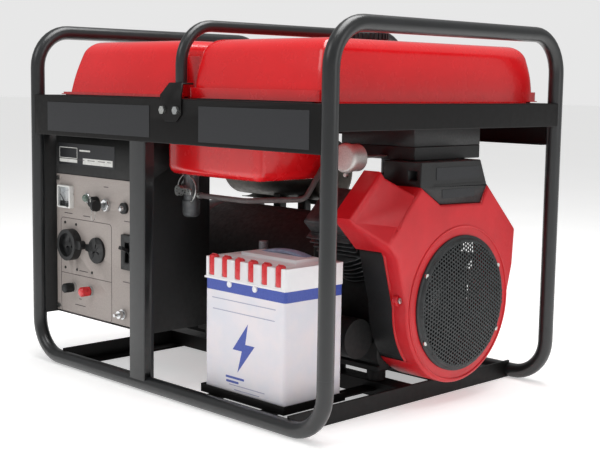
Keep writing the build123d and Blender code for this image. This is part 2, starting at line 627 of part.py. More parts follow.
def sockets():
    x, z, radius = BIG_SOCKET_X, BIG_SOCKET_Z, BIG_SOCKET_R
    big = rod_y(radius, PANEL_Y - 16, PANEL_Y, x, z) + rod_y(radius - 5, PANEL_Y, PANEL_Y + 24, x, z)
    big = big + rod_y(8, PANEL_Y - 12, PANEL_Y, x + radius + 5, z + 2) + block(
        x + radius - 4, x + radius + 6, PANEL_Y - 12, PANEL_Y, z - 5, z + 9)
    big -= rod_y(radius - 7, PANEL_Y - 17, PANEL_Y - 8, x, z)
    keep("sockets", cut_slots(big, x, z, 9, PANEL_Y - 9, PANEL_Y + 12))
    x, z, radius = FLAT_SOCKET_X, FLAT_SOCKET_Z, FLAT_SOCKET_R
    flat = rod_y(radius, PANEL_Y - 5, PANEL_Y, x, z) + rod_y(radius - 4, PANEL_Y, PANEL_Y + 24, x, z)
    flat += block(x - radius - 11, x - radius + 3, PANEL_Y - 4, PANEL_Y, z - 4, z + 8)
    keep("sockets", cut_slots(flat, x, z, 7.5, PANEL_Y - 6, PANEL_Y + 12))


def cut_slots(shape, x, z, reach, y0, y1):
    """Three contact slots, a third of a turn apart."""
    for step in range(3):
        angle = 90 + 120 * step
        slot = Pos(x, (y0 + y1) / 2, z) * Rot(0, -angle, 0) * Pos(reach, 0, 0) * Box(7.5, y1 - y0, 2.4)
        shape -= slot
    return shape


def terminals():
    for x, z in ((POST_BLACK_X, POST_Z), (POST_RED_X, POST_Z), (EARTH_X, EARTH_Z)):
        collar = rod_y(POST_NUT_R, PANEL_Y - 5, PANEL_Y, x, z)
        keep("terminal_studs", collar + rod_y(3, PANEL_Y - 22, PANEL_Y + 14, x, z))
    for name, x in (("black_terminal_nut", POST_BLACK_X), ("red_terminal_nut", POST_RED_X)):
        nut = rod_y(POST_NUT_R, PANEL_Y - 24, PANEL_Y - 5.4, x, POST_Z)
        keep(name, nut - rod_y(3 + SHAFT_GAP, PANEL_Y - 22.5, PANEL_Y - 5, x, POST_Z))
    wing = rod_y(7, PANEL_Y - 13, PANEL_Y - 5.4, EARTH_X, EARTH_Z)
    keep("terminal_studs", wing - rod_y(3 + SHAFT_GAP, PANEL_Y - 14, PANEL_Y - 5, EARTH_X, EARTH_Z))


# ---- battery ---------------------------------------------------------------------------------
def battery():
    x0, x1 = BATTERY_X, BATTERY_X + BATTERY_LONG
    y0, y1 = BATTERY_FRONT, BATTERY_FRONT + BATTERY_DEEP
    low = BATTERY_LOW
    case = block(x0, x1, y0, y1, low, low + CASE_TALL)
    case = fillet(case.edges().filter_by(Axis.Z), 6)
    inner = [block(x0 + 3 + step * (BATTERY_LONG - 3) / 6, x0 + (step + 1) * (BATTERY_LONG - 3) / 6,
                   y0 + 3, y1 - 3, low + 4, low + CASE_TALL + 1) for step in range(6)]
    for cell in inner:
        case -= cell
    keep("battery_case", case)
    top = low + CASE_TALL + LID_TALL
    lid = fillet(block(x0 - 1, x1 + 1, y0 - 1, y1 + 1, low + CASE_TALL, top).edges().filter_by(Axis.Z), 6)
    lid += block(x0 + 30, x1 - 30, y0 + 50, y1 - 25, top, top + 6)
    pitch = (BATTERY_LONG - 2 * VENT_END) / 5
    xs = [x0 + VENT_END + step * pitch for step in range(6)]
    vent_y = y0 + VENT_SETBACK
    for x in xs:
        lid -= rod_z(VENT_R + HOLE_GAP, low + CASE_TALL + 6, top + 1, x, vent_y)
    posts = [(x0 + 18, y1 - 16), (x1 - 18, y1 - 16)]
    keep("battery_lid", lid)
    keep("battery_caps", *[rod_z(VENT_R, low + CASE_TALL + 6, top + 4, x, vent_y) for x in xs])
    keep("battery_terminals", *[rod_z(8, top, top + 17, x, y) for x, y in posts])
    gap = TRAY_GAP + 1
    tray = block(x0 - gap - TRAY_SHEET, x1 + gap + TRAY_SHEET, y0 - gap - TRAY_SHEET, y1 + gap + TRAY_SHEET,
                 low - TRAY_SHEET, low + TRAY_LIP)
    tray -= block(x0 - gap, x1 + gap, y0 - gap, y1 + gap, low, low + TRAY_LIP + 1)
    keep("base_members", tray)
    bearer_face = ENGINE_Y - BEARER_OFFSET - BEARER_WIDE / 2
    for x in (x0 + 30, x1 - 30):
        strap = block(x - 15, x + 15, -POST_Y + TUBE_R, bearer_face, low - TRAY_SHEET - 4, low - TRAY_SHEET)
        keep("base_members", strap)


# ---- engine ----------------------------------------------------------------------------------
def around_axis(points):
    return [(ENGINE_Y + y, ENGINE_Z + z) for y, z in points]


def case_points(inset=0.0):
    """The crankcase outline, with a cylinder deck at 45 degrees each side."""
    deck = (DECK - inset) * sqrt(2)
    side = 104.0 - inset
    top = 100.0 - inset
    low = -109.0 + inset
    right = [(95 - inset, low), (side, low + 14), (side, deck - side), (deck - top, top)]
    return around_axis(right + [(-y, z) for y, z in reversed(right)])


def back_plate():
    """The plate behind the fan, cleared for the fins of the bank beside it."""
    plate = rod_x(BACKPLATE_R, CASE_X1, SHROUD_X0 - HOLE_GAP, ENGINE_Y, ENGINE_Z)
    fins = Pos(0, 0, DECK + BARREL_LONG / 2) * Cylinder(FIN_R + 2 * HOLE_GAP, BARREL_LONG + 2 * HOLE_GAP)
    return plate - Pos(LEFT_BANK_X, ENGINE_Y, ENGINE_Z) * Rot(45, 0, 0) * fins


def crankcase():
    case = prism_x(case_points(), CASE_X0, CASE_X1)
    case -= prism_x(case_points(CASE_WALL), CASE_X0 + CASE_WALL, CASE_X1 - CASE_WALL)
    case += back_plate()
    case -= rod_x(SHAFT_R + SHAFT_GAP, CASE_X0 - 5, CASE_X1 + 5, ENGINE_Y, ENGINE_Z)
    low = ENGINE_Z - 109
    foot = block(CASE_X0, CASE_X1, ENGINE_Y - 100, ENGINE_Y + 100, low - 10, low)
    neck = rod_z(9.5, 176, 262, OIL_X, ENGINE_Y - 118)
    neck += block(OIL_X - 8, OIL_X + 8, ENGINE_Y - 118, ENGINE_Y - 103, 176, 194)
    keep("crankcase", case + foot + neck - rod_z(6, 216, 263, OIL_X, ENGINE_Y - 118))
    cap = rod_z(10.5, 262.4, 274, OIL_X, ENGINE_Y - 118) + rod_z(3, 222, 263, OIL_X, ENGINE_Y - 118)
    keep("oil_cap", cap)
    cylinder(LEFT_BANK_X, -1)
    cylinder(RIGHT_BANK_X, 1)


def cylinder(x, side):
    """Barrel, head and rocker cover of one bank, built upright and then leaned over."""
    place = Pos(x, ENGINE_Y, ENGINE_Z) * Rot(-45 * side, 0, 0)
    barrel = Pos(0, 0, DECK + BARREL_LONG / 2) * Cylinder(BARREL_R, BARREL_LONG)
    pitch = BARREL_LONG / FIN_COUNT
    for step in range(FIN_COUNT):
        barrel += Pos(0, 0, DECK + pitch * (step + 0.5)) * Cylinder(FIN_R, FIN_THICK)
    bore = Pos(0, 0, DECK + BARREL_LONG / 2) * Cylinder(38.5, BARREL_LONG + 2)
    keep("cylinder_barrels", place * (barrel - bore))
    base = DECK + BARREL_LONG
    head = Pos(0, 0, base + HEAD_LONG / 2) * Box(HEAD_WIDE - 14, HEAD_WIDE - 14, HEAD_LONG)
    for step in range(4):
        head += Pos(0, 0, base + HEAD_LONG * (step + 0.5) / 4) * Box(HEAD_WIDE, HEAD_WIDE, FIN_THICK)
    keep("cylinder_heads", place * head)
    cover = Pos(0, 0, base + HEAD_LONG + COVER_LONG / 2) * Box(HEAD_WIDE - 16, HEAD_WIDE - 18, COVER_LONG)
    keep("rocker_covers", place * fillet(cover.edges().group_by(Axis.Z)[-1], 8))


def shroud_outline(inset=0.0):
    """The fan cover's front: a round rim that widens into two shoulders, with a notch for the badge cover."""
    right = [(52, 163), (68, 193), (150, 113), (146, 51), (133, 0)]
    left = [(-133, 0), (-142, 30), (-164, 108), (-160, 135), (-104, 196), (-55, 166)]
    wings = make_face(Polyline(*right, *left, close=True))
    if inset:
        wings = offset(wings, amount=-inset)
    return Circle(SHROUD_R - inset) + wings


def to_axis(sketch, x0, x1):
    """A sketch of (y, z) about the crankshaft stretched along X."""
    plane = Plane(origin=(x0, ENGINE_Y, ENGINE_Z), x_dir=(0, 1, 0), z_dir=(1, 0, 0))
    return extrude(plane * sketch, amount=x1 - x0)


def arm(inset, side):
    """The duct over one bank of cylinders; the near one slopes down from the cover's face."""
    back = SHROUD_X0 - max(0, inset)
    front = ARM_X - inset
    reach = (ARM_REACH if side < 0 else FAR_ARM_REACH) - inset
    profile = [(back, ARM_START), (back, reach), (front, reach)]
    if side < 0:
        profile += [(front, ARM_KNEE - inset / 2), (SHROUD_X1 - inset, ARM_RIDGE - inset / 2),
                    (SHROUD_X1 - inset, ARM_START)]
    else:
        profile += [(front, ARM_START)]
    duct = prism_y(profile, inset - ARM_HALF, ARM_HALF - inset)
    return Pos(0, ENGINE_Y, ENGINE_Z) * Rot(-45 * side, 0, 0) * duct


def fan_shroud():
    wall = SHROUD_WALL
    outer = to_axis(shroud_outline(), SHROUD_X0, SHROUD_X1)
    outer = outer + arm(0, 1) + arm(0, -1)
    inner = to_axis(shroud_outline(wall), SHROUD_X0 - 1, SHROUD_X1 - wall)
    inner = inner + arm(wall, 1) + arm(wall, -1)
    window = guide_window(HOLE_GAP)
    shell = outer - inner - window - rod_x(GRILLE_R - 8, SHROUD_X1 - 10, SHROUD_X1 + 5, ENGINE_Y, ENGINE_Z)
    for x, z in screw_ring():
        shell -= rod_x(2.5 + HOLE_GAP, SHROUD_X1 - 10, SHROUD_X1 + 5, x, z)
    keep("fan_shroud", max(shell.solids(), key=lambda solid: solid.volume))
    keep("fan_grille", fan_grille())
    for y, z in screw_ring():
        head = rod_x(4.2, SHROUD_X1 + 4, SHROUD_X1 + 7, y, z)
        keep("fasteners", head + rod_x(2.5, SHROUD_X1 - 8, SHROUD_X1 + 5, y, z))


def guide_window(gap):
    """The part of the shroud's side, towards the panel, that a black air guide closes."""
    return block(SHROUD_X0 - 1, RIM_X0 + gap, ENGINE_Y - ARM_REACH, ENGINE_Y + GUIDE_IN + gap,
                 ENGINE_Z + GUIDE_LOW - gap, ENGINE_Z + GUIDE_HIGH + gap)


def air_guide():
    skin = shroud_outline(1) - shroud_outline(1 + GUIDE_THICK)
    return to_axis(skin, SHROUD_X0, SHROUD_X1) & guide_window(0)


def screw_ring():
    return [(ENGINE_Y + (GRILLE_R - 4.5) * cos(radians(a)), ENGINE_Z + (GRILLE_R - 4.5) * sin(radians(a)))
            for a in (30, 150, 210, 330)]


def fan_grille():
    """A dished disc with rings of air slots."""
    dish = rod_x(GRILLE_R, SHROUD_X1, SHROUD_X1 + 4, ENGINE_Y, ENGINE_Z)
    dish += rod_x(GRILLE_R - 10, SHROUD_X1, SHROUD_X1 + GRILLE_PROUD, ENGINE_Y, ENGINE_Z)
    dish -= rod_x(GRILLE_R - 12, SHROUD_X1 - 1, SHROUD_X1 + GRILLE_PROUD - 2, ENGINE_Y, ENGINE_Z)
    for y, z in screw_ring():
        dish -= rod_x(2.5 + HOLE_GAP, SHROUD_X1 - 1, SHROUD_X1 + 9, y, z)
    slots = []
    for ring, count in ((30, 10), (58, 16), (84, 24)):
        for step in range(count):
            turn = Pos(SHROUD_X1 + GRILLE_PROUD - 1, ENGINE_Y, ENGINE_Z) * Rot(360 * step / count, 0, 0)
            slots.append(turn * Pos(0, 0, ring) * Box(6, 8, 20))
    return dish - slots


def airways():
    low, high = CLEANER_LOW, CLEANER_HIGH
    case = block(CLEANER_X0, CLEANER_X1, ENGINE_Y - CLEANER_HALF, ENGINE_Y + CLEANER_HALF, low, low + 22)
    case -= block(CLEANER_X0 + 3, CLEANER_X1 - 3, ENGINE_Y - CLEANER_HALF + 3, ENGINE_Y + CLEANER_HALF - 3,
                  low + 3, low + 23)
    throat = rod_z(17 + HOLE_GAP, low - 1, low + 4, 188, ENGINE_Y)
    keep("air_cleaner_base", case - throat)
    cover = block(CLEANER_X0, CLEANER_X1, ENGINE_Y - CLEANER_HALF, ENGINE_Y + CLEANER_HALF, low + 22, high)
    cover = fillet(cover.edges().group_by(Axis.Z)[-1], 8)
    cover -= block(CLEANER_X0 + 3, CLEANER_X1 - 3, ENGINE_Y - CLEANER_HALF + 3, ENGINE_Y + CLEANER_HALF - 3,
                   low + 21, high - 3)
    keep("air_cleaner_cover", cover)
    element = block(CLEANER_X0 + 12, CLEANER_X1 - 12, ENGINE_Y - 66, ENGINE_Y + 66, low + 8, low + 46)
    keep("air_cleaner_base", element - rod_z(18, low + 7, low + 40, 188, ENGINE_Y))
    carb = rod_z(17, 372, low + 3, 188, ENGINE_Y) + block(164, 212, ENGINE_Y - 26, ENGINE_Y + 26, 306, 372)
    keep("carburettor", carb)
    keep("carburettor", block(172, 204, ENGINE_Y - 22, ENGINE_Y + 22, ENGINE_Z + 100, 306))
    keep("badge_panel", badge_panel(), air_guide())


def badge_panel():
    """Black cover that fills the notch between the shoulders, with a square air hole in its near side."""
    top = CLEANER_LOW - HOLE_GAP - ENGINE_Z
    points = around_axis([(-56, 160), (52, 160), (69, 193), (50, top), (-104, top), (-104, 190)])
    cover = prism_x(points, SHROUD_X0 + 2, SHROUD_X1 - 4)
    cover -= to_axis(shroud_outline(-HOLE_GAP), SHROUD_X0, SHROUD_X1) + arm(-HOLE_GAP, -1) + arm(-HOLE_GAP, 1)
    y, z = ENGINE_Y - 104, ENGINE_Z + 206
    cover -= block(SHROUD_X1 - 30, SHROUD_X1 - 12, y - 1, y + 20, z, z + 15)
    return max(cover.solids(), key=lambda solid: solid.volume)


def rotating_parts():
    keep("crankshaft", crankshaft())
    wheel = rod_x(FAN_R - 6, 268, 286, ENGINE_Y, ENGINE_Z) - rod_x(SHAFT_R, 260, 300, ENGINE_Y, ENGINE_Z)
    for step in range(16):
        turn = Pos(302, ENGINE_Y, ENGINE_Z) * Rot(360 * step / 16, 0, 0)
        wheel += turn * Pos(0, 0, (FAN_R + 46) / 2 + 2) * Box(32, 3, FAN_R - 52)
    keep("flywheel_fan", wheel)
    rotor = rod_x(ROTOR_R, -190, 60, ENGINE_Y, ENGINE_Z) - rod_x(SHAFT_R, -200, 70, ENGINE_Y, ENGINE_Z)
    keep("alternator_rotor", rotor)


def crankshaft():
    shaft = rod_x(SHAFT_R, -284, 296, ENGINE_Y, ENGINE_Z)
    for x in (140, 172, 204, 236):
        shaft += rod_x(44, x - 6, x + 6, ENGINE_Y, ENGINE_Z)
    return shaft


def alternator():
    body = rod_x(ALT_R, ALT_X0 + 60, ALT_X1, ENGINE_Y, ENGINE_Z)
    body -= rod_x(ALT_R - ALT_WALL, ALT_X0 + 59, ALT_X1 - 8, ENGINE_Y, ENGINE_Z)
    body -= rod_x(SHAFT_R + 4, ALT_X1 - 9, ALT_X1 + 1, ENGINE_Y, ENGINE_Z)
    keep("alternator_housing", body)
    stator = rod_x(ALT_R - ALT_WALL, -180, 50, ENGINE_Y, ENGINE_Z)
    keep("alternator_stator", stator - rod_x(STATOR_R0 + 0.6, -181, 51, ENGINE_Y, ENGINE_Z))
    cover = rod_x(ALT_R, ALT_X0, ALT_X0 + 60, ENGINE_Y, ENGINE_Z)
    cover = fillet(cover.edges().group_by(Axis.X)[0], 14)
    cover -= rod_x(ALT_R - ALT_WALL, ALT_X0 + 5, ALT_X0 + 61, ENGINE_Y, ENGINE_Z)
    for step in range(14):
        turn = Pos(ALT_X0, ENGINE_Y, ENGINE_Z) * Rot(360 * step / 14, 0, 0)
        cover -= turn * Pos(0, 0, 74) * Box(30, 7, 42)
    hub = rod_x(40, ALT_X0 + 4, ALT_X0 + 26, ENGINE_Y, ENGINE_Z)
    cover = cover + hub - rod_x(28, ALT_X0 + 8, ALT_X0 + 27, ENGINE_Y, ENGINE_Z)
    keep("alternator_end_cover", cover)
    ring = rod_x(28, ALT_X0 + 8, ALT_X0 + 24, ENGINE_Y, ENGINE_Z)
    keep("alternator_end_cover", ring - rod_x(SHAFT_R + SHAFT_GAP, ALT_X0 + 7, ALT_X0 + 25, ENGINE_Y, ENGINE_Z))


def supports():
    x1 = CROSS_X - ANGLE_THICK
    z0 = FOOT_CLEAR + ANGLE_THICK
    half = BEARER_WIDE / 2
    for side in (-1, 1):
        y = ENGINE_Y + side * BEARER_OFFSET
        bar = block(-x1, x1, y - half, y + half, z0, ANGLE_LEG)
        keep("base_members", bar - block(-x1 - 1, x1 + 1, y - half + 3, y + half - 3, z0 - 1, ANGLE_LEG - 3))
    low, high = ANGLE_LEG, ANGLE_LEG + MOUNT_TALL
    for x in (CRADLE_X, CASE_X0 + 24, CASE_X1 - 24):
        for side in (-1, 1):
            keep("rubber_mounts", rod_z(MOUNT_R, low, high, x, ENGINE_Y + side * BEARER_OFFSET))
    reach = BEARER_OFFSET + 20
    cradle = block(CRADLE_X - 24, CRADLE_X + 24, ENGINE_Y - reach, ENGINE_Y + reach, high, high + 60)
    keep("alternator_cradle", cradle - rod_x(ALT_R + 0.1, CRADLE_X - 30, CRADLE_X + 30, ENGINE_Y, ENGINE_Z))


def exhaust():
    body = fillet(rod_x(MUFFLER_R, -330, -60, MUFFLER_Y, MUFFLER_Z).edges(), 10)
    body += rod_x(14, -352, -325, MUFFLER_Y + 24, MUFFLER_Z + 20)
    keep("muffler", body - rod_x(11, -353, -300, MUFFLER_Y + 24, MUFFLER_Z + 20))
    head_face = RIGHT_BANK_X - HEAD_WIDE / 2
    keep("muffler", rod_x(16, -60, head_face, 196, 306) - rod_x(13, -61, head_face + 1, 196, 306))
    guard = rod_x(MUFFLER_R + 8, -318, -72, MUFFLER_Y, MUFFLER_Z)
    guard -= rod_x(MUFFLER_R + 6.5, -319, -71, MUFFLER_Y, MUFFLER_Z)
    guard -= block(-320, -70, MUFFLER_Y - 80, MUFFLER_Y - 10, MUFFLER_Z - 90, MUFFLER_Z + 90)
    for step in range(12):
        x = -304 + step * 20
        guard -= block(x, x + 8, MUFFLER_Y, MUFFLER_Y + 90, MUFFLER_Z - 44, MUFFLER_Z + 44)
    keep("muffler", guard)
    for x in (-200, -130):
        leg = block(x, x + 20, MUFFLER_Y - 30, MUFFLER_Y - 12, ENGINE_Z + 40, MUFFLER_Z - 30)
        leg -= rod_x(ALT_R + 0.05, x - 1, x + 21, ENGINE_Y, ENGINE_Z)
        keep("alternator_cradle", leg - rod_x(MUFFLER_R + 0.05, x - 1, x + 21, MUFFLER_Y, MUFFLER_Z))


def engine_extras():
    starter = rod_x(33, 150, 258, ENGINE_Y - 150, 112) + rod_x(17, 130, 150, ENGINE_Y - 150, 112)
    starter += block(150, 250, ENGINE_Y - 122, ENGINE_Y - 104, 96, 130)
    keep("starter_motor", starter)
    oil_filter = rod_y(36, ENGINE_Y + 104, ENGINE_Y + 174, 190, 108)
    keep("oil_filter", fillet(oil_filter.edges().group_by(Axis.Y)[-1], 6))


def main():
    frame_tubes()
    frame_bands()
    lifting_hoop()
    tank()
    fuel_line()
    control_box()
    voltmeter()
    panel_controls()
    battery()
    crankcase()
    fan_shroud()
    airways()
    rotating_parts()
    alternator()
    supports()
    exhaust()
    engine_extras()
    for name, solids in shapes.items():
        shape = solids[0] if len(solids) == 1 else Compound(children=solids)
        export_step(shape, "parts/" + name + ".step")


main()
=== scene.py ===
"""Looks of an open-frame petrol generating set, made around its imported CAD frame.

Shapes are worked out in millimetres and turned to metres when a piece is finished.
"""

from math import cos, pi, radians, sin, sqrt

import bmesh
import bpy
from mathutils import Matrix, Vector


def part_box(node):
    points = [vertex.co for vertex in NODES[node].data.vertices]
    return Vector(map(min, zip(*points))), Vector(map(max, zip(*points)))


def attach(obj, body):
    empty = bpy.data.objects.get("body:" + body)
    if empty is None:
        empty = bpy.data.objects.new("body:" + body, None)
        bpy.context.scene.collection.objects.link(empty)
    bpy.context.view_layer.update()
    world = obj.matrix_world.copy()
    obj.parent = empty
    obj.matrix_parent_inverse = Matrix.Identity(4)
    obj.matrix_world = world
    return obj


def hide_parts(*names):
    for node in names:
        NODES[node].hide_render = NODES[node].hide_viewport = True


bl_info = {
    "name": "Generating Set Looks",
    "version": (1, 0, 0),
    "blender": (4, 5, 0),
    "location": "View3D > Sidebar > Generating Set",
    "description": "Builds the finished look of an open-frame generating set around its CAD frame",
    "category": "Object",
}

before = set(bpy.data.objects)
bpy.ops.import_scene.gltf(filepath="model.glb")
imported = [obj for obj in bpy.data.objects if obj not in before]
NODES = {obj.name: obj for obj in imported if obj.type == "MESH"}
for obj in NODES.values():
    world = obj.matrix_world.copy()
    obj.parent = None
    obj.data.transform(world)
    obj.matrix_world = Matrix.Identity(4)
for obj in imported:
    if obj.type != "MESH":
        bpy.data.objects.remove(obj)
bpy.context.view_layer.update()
ROOT = "generator"
MM = 0.001
FRONT, RIGHT, UP = (0, -1, 0), (1, 0, 0), (0, 0, 1)

# How the CAD's triangles are joined and judged: the distance in metres under which two points are one,
# and the angles in degrees below which faces are one flat face and above which an edge is a corner.
WELD = 2e-6
FLAT, CORNER = 0.5, 50


# ---- places ----------------------------------------------------------------------------------
def box_mm(node):
    """Lowest and highest corner of a CAD node in millimetres."""
    low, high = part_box(node)
    return low / MM, high / MM


def middle(node):
    """The middle of a CAD node's box in millimetres."""
    low, high = box_mm(node)
    return (low + high) / 2


def on_panel(node, depth):
    """A round node that faces the front: its radius, and the height of its back end and the matrix of a
    seat that lies depth behind its foremost point."""
    low, high = box_mm(node)
    centre, seat = (low + high) / 2, low.y + depth
    return (high.x - low.x) / 2, seat - high.y, facing((centre.x, seat, centre.z), FRONT)


def merged(node):
    """A CAD node's triangles as one bmesh, joined where they touch."""
    bm = bmesh.new()
    bm.from_mesh(NODES[node].data)
    bmesh.ops.remove_doubles(bm, verts=bm.verts, dist=WELD)
    bmesh.ops.dissolve_degenerate(bm, dist=WELD, edges=bm.edges)
    return bm


def flattened(node):
    """The same with the triangles of each flat face joined, ready for its edges to be rounded."""
    bm = merged(node)
    bmesh.ops.dissolve_limit(bm, angle_limit=radians(FLAT), verts=bm.verts, edges=bm.edges)
    return bm


def solid_boxes(node):
    """(low, high) in millimetres of every separate solid of a CAD node, from left to right."""
    bm = merged(node)
    left = set(bm.verts)
    boxes = []
    while left:
        found, edge = set(), [left.pop()]
        while edge:
            vert = edge.pop()
            found.add(vert)
            near = [link.other_vert(vert) for link in vert.link_edges]
            fresh = [other for other in near if other in left]
            left.difference_update(fresh)
            edge.extend(fresh)
        points = [vert.co / MM for vert in found]
        low = Vector([min(point[i] for point in points) for i in range(3)])
        high = Vector([max(point[i] for point in points) for i in range(3)])
        boxes.append((low, high))
    bm.free()
    return sorted(boxes, key=lambda pair: pair[0].x)


def facing(origin, out):
    """The matrix that puts local +Z along out at origin, with local +X as level as can be."""
    out = Vector(out).normalized()
    side = Vector(UP).cross(out) if abs(out.z) < 0.99 else Vector(RIGHT)
    side.normalize()
    up = out.cross(side)
    turn = Matrix((side, up, out)).transposed().to_4x4()
    return Matrix.Translation(origin) @ turn


# ---- shapes ----------------------------------------------------------------------------------
class Shape:
    """A mesh under construction, in millimetres, with one finish per part."""

    def __init__(self, *finishes):
        self.bm = bmesh.new()
        self.finishes = list(finishes)
        self.index = 0

    def use(self, number):
        self.index = number
        return self

    def _mark(self, before):
        for face in self.bm.faces:
            if face not in before:
                face.material_index = self.index

    def skin(self, rings, loop=False, at=None):
        """Joins rings of equal length with quads; a ring of one point closes an end."""
        before = set(self.bm.faces)
        at = at or Matrix.Identity(4)
        made = [[self.bm.verts.new(at @ Vector(point)) for point in ring] for ring in rings]
        pairs = list(zip(made, made[1:]))
        if loop:
            pairs.append((made[-1], made[0]))
        for first, second in pairs:
            count = max(len(first), len(second))
            for step in range(count):
                follow = (step + 1) % count
                corners = [first[step % len(first)], first[follow % len(first)],
                           second[follow % len(second)], second[step % len(second)]]
                unique = list(dict.fromkeys(corners))
                if len(unique) > 2:
                    self.bm.faces.new(unique)
        if not loop:
            for ring, turn in ((made[0], -1), (made[-1], 1)):
                if len(ring) > 2:
                    self.bm.faces.new(ring[::turn])
        self._mark(before)
        return self

    def lathe(self, profile, at, sides=48):
        """Turns a profile of (radius, height) points about local Z."""
        rings = []
        for radius, height in profile:
            if radius < 1e-6:
                rings.append([(0, 0, height)])
            else:
                rings.append([(radius * cos(a), radius * sin(a), height) for a in full_turn(sides)])
        return self.skin(rings, at=at)

    def ring(self, profile, at, sides=96):
        """Turns a closed profile of (radius, height) points about local Z, which leaves a hole."""
        rings = [[(r * cos(a), r * sin(a), height) for r, height in profile] for a in full_turn(sides)]
        return self.skin(rings, loop=True, at=at)

    def slab(self, outline, low, high, at=None, bevel=0.0, segments=2):
        """Stretches an outline of (x, y) points from one height to another along local Z."""
        before = set(self.bm.faces)
        rings = [[(x, y, z) for x, y in outline] for z in (low, high)]
        self.skin(rings, at=at)
        if bevel:
            fresh = [face for face in self.bm.faces if face not in before]
            edges = list({edge for face in fresh for edge in face.edges if edge.calc_face_angle(0) > 0.6})
            bmesh.ops.bevel(self.bm, geom=edges, offset=bevel, segments=segments, profile=0.5,
                            affect="EDGES", clamp_overlap=True)
            self._mark(before)
        return self

    def block(self, low, high, bevel=0.0, segments=2):
        """A box between two corners."""
        outline = [(low[0], low[1]), (high[0], low[1]), (high[0], high[1]), (low[0], high[1])]
        return self.slab(outline, low[2], high[2], bevel=bevel, segments=segments)

    def sweep(self, path, radius, sides=24, loop=False, chamfer=0.0):
        """A round bar along a path of points."""
        path = [Vector(point) for point in path]
        count = len(path)
        rings = []
        normal = None
        for step, point in enumerate(path):
            ahead = path[(step + 1) % count] if loop or step + 1 < count else point
            behind = path[step - 1] if loop or step else point
            along = (ahead - behind).normalized()
            if normal is None:
                start = Vector((0, 0, 1)) if abs(along.z) < 0.9 else Vector((1, 0, 0))
                normal = start.cross(along).normalized()
            normal = (normal - along * normal.dot(along)).normalized()
            other = along.cross(normal)
            rings.append([point + (normal * cos(a) + other * sin(a)) * radius for a in full_turn(sides)])
        if chamfer and not loop:
            share = 1 - chamfer / radius
            small = [[end + (point - end) * share for point in ring]
                     for end, ring in ((path[0], rings[0]), (path[-1], rings[-1]))]
            for end, follow in ((0, 1), (-1, -2)):
                push = (path[follow] - path[end]).normalized() * chamfer
                rings[end] = [point + push for point in rings[end]]
            rings = [small[0]] + rings + [small[1]]
        return self.skin(rings, loop=loop)

    def copy_of(self, mesh):
        """Adds a finished mesh that is already in metres."""
        before = set(self.bm.faces)
        count = len(self.bm.verts)
        self.bm.from_mesh(mesh)
        self.bm.verts.ensure_lookup_table()
        bmesh.ops.scale(self.bm, vec=(1 / MM,) * 3, verts=self.bm.verts[count:])
        self._mark(before)
        return self

    def mesh(self, name, smooth=35.0):
        """The finished mesh in metres, its faces outwards."""
        bmesh.ops.remove_doubles(self.bm, verts=self.bm.verts, dist=1e-4)
        bmesh.ops.recalc_face_normals(self.bm, faces=self.bm.faces)
        mesh = bpy.data.meshes.new(name)
        self.bm.to_mesh(mesh)
        self.bm.free()
        mesh.transform(Matrix.Scale(MM, 4))
        for finish in self.finishes:
            mesh.materials.append(finish)
        smoothed(mesh, smooth)
        return mesh

    def place(self, name, slot, *nodes, body=ROOT, smooth=35.0):
        """Finishes the mesh and puts it in the scene, in place of any CAD nodes named."""
        return piece(name, self.mesh(name, smooth), slot, *nodes, body=body)


def full_turn(sides):
    """The angles of the corners of a regular polygon."""
    return [2 * pi * step / sides for step in range(sides)]


def smoothed(mesh, angle):
    """Smooth shading, with edges over an angle in degrees left sharp."""
    mesh.shade_smooth()
    mesh.set_sharp_from_angle(angle=radians(angle))


def bent(points, radius, steps=10):
    """A path of straight runs with its corners rounded by tangent arcs."""
    points = [Vector(point) for point in points]
    path = [points[0]]
    for before, corner, after in zip(points, points[1:], points[2:]):
        back = (before - corner).normalized()
        on = (after - corner).normalized()
        half = back.angle(on) / 2
        reach = radius / sin(half)
        centre = corner + (back + on).normalized() * reach
        start = corner + back * (reach * cos(half))
        end = corner + on * (reach * cos(half))
        for step in range(steps + 1):
            share = step / steps
            arm = (start - centre).normalized().slerp((end - centre).normalized(), share) * radius
            path.append(centre + arm)
    path.append(points[-1])
    return path


def rounded(width, height, radius, steps=6, centre=(0, 0)):
    """A rectangle outline with round corners."""
    outline = []
    for turn, (sx, sy) in enumerate(((1, 1), (-1, 1), (-1, -1), (1, -1))):
        cx = centre[0] + sx * (width / 2 - radius)
        cy = centre[1] + sy * (height / 2 - radius)
        for step in range(steps + 1):
            angle = pi / 2 * (turn + step / steps)
            outline.append((cx + radius * cos(angle), cy + radius * sin(angle)))
    return outline


def piece(name, mesh, slot, *nodes, body=ROOT):
    """Puts a finished mesh in the scene on a CAD body, in place of any CAD nodes named."""
    thing = bpy.data.objects.new(name, mesh)
    bpy.context.scene.collection.objects.link(thing)
    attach(thing, body)
    if nodes:
        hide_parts(*nodes)
    return thing


def sharp_edges(bm, angle):
    """Edges that meet at more than an angle in degrees."""
    return [edge for edge in bm.edges if edge.is_manifold and edge.calc_face_angle(0) > radians(angle)]


def round_off(bm, edges, width, segments):
    """Rounds edges to a width in millimetres."""
    bmesh.ops.bevel(bm, geom=edges, offset=width * MM, segments=segments, profile=0.5, affect="EDGES",
                    clamp_overlap=False)


def taken(bm, name, finish, angle):
    """The shaded mesh of a finished bmesh, which is freed."""
    mesh = bpy.data.meshes.new(name)
    bm.to_mesh(mesh)
    bm.free()
    mesh.materials.append(finish)
    smoothed(mesh, angle)
    return mesh


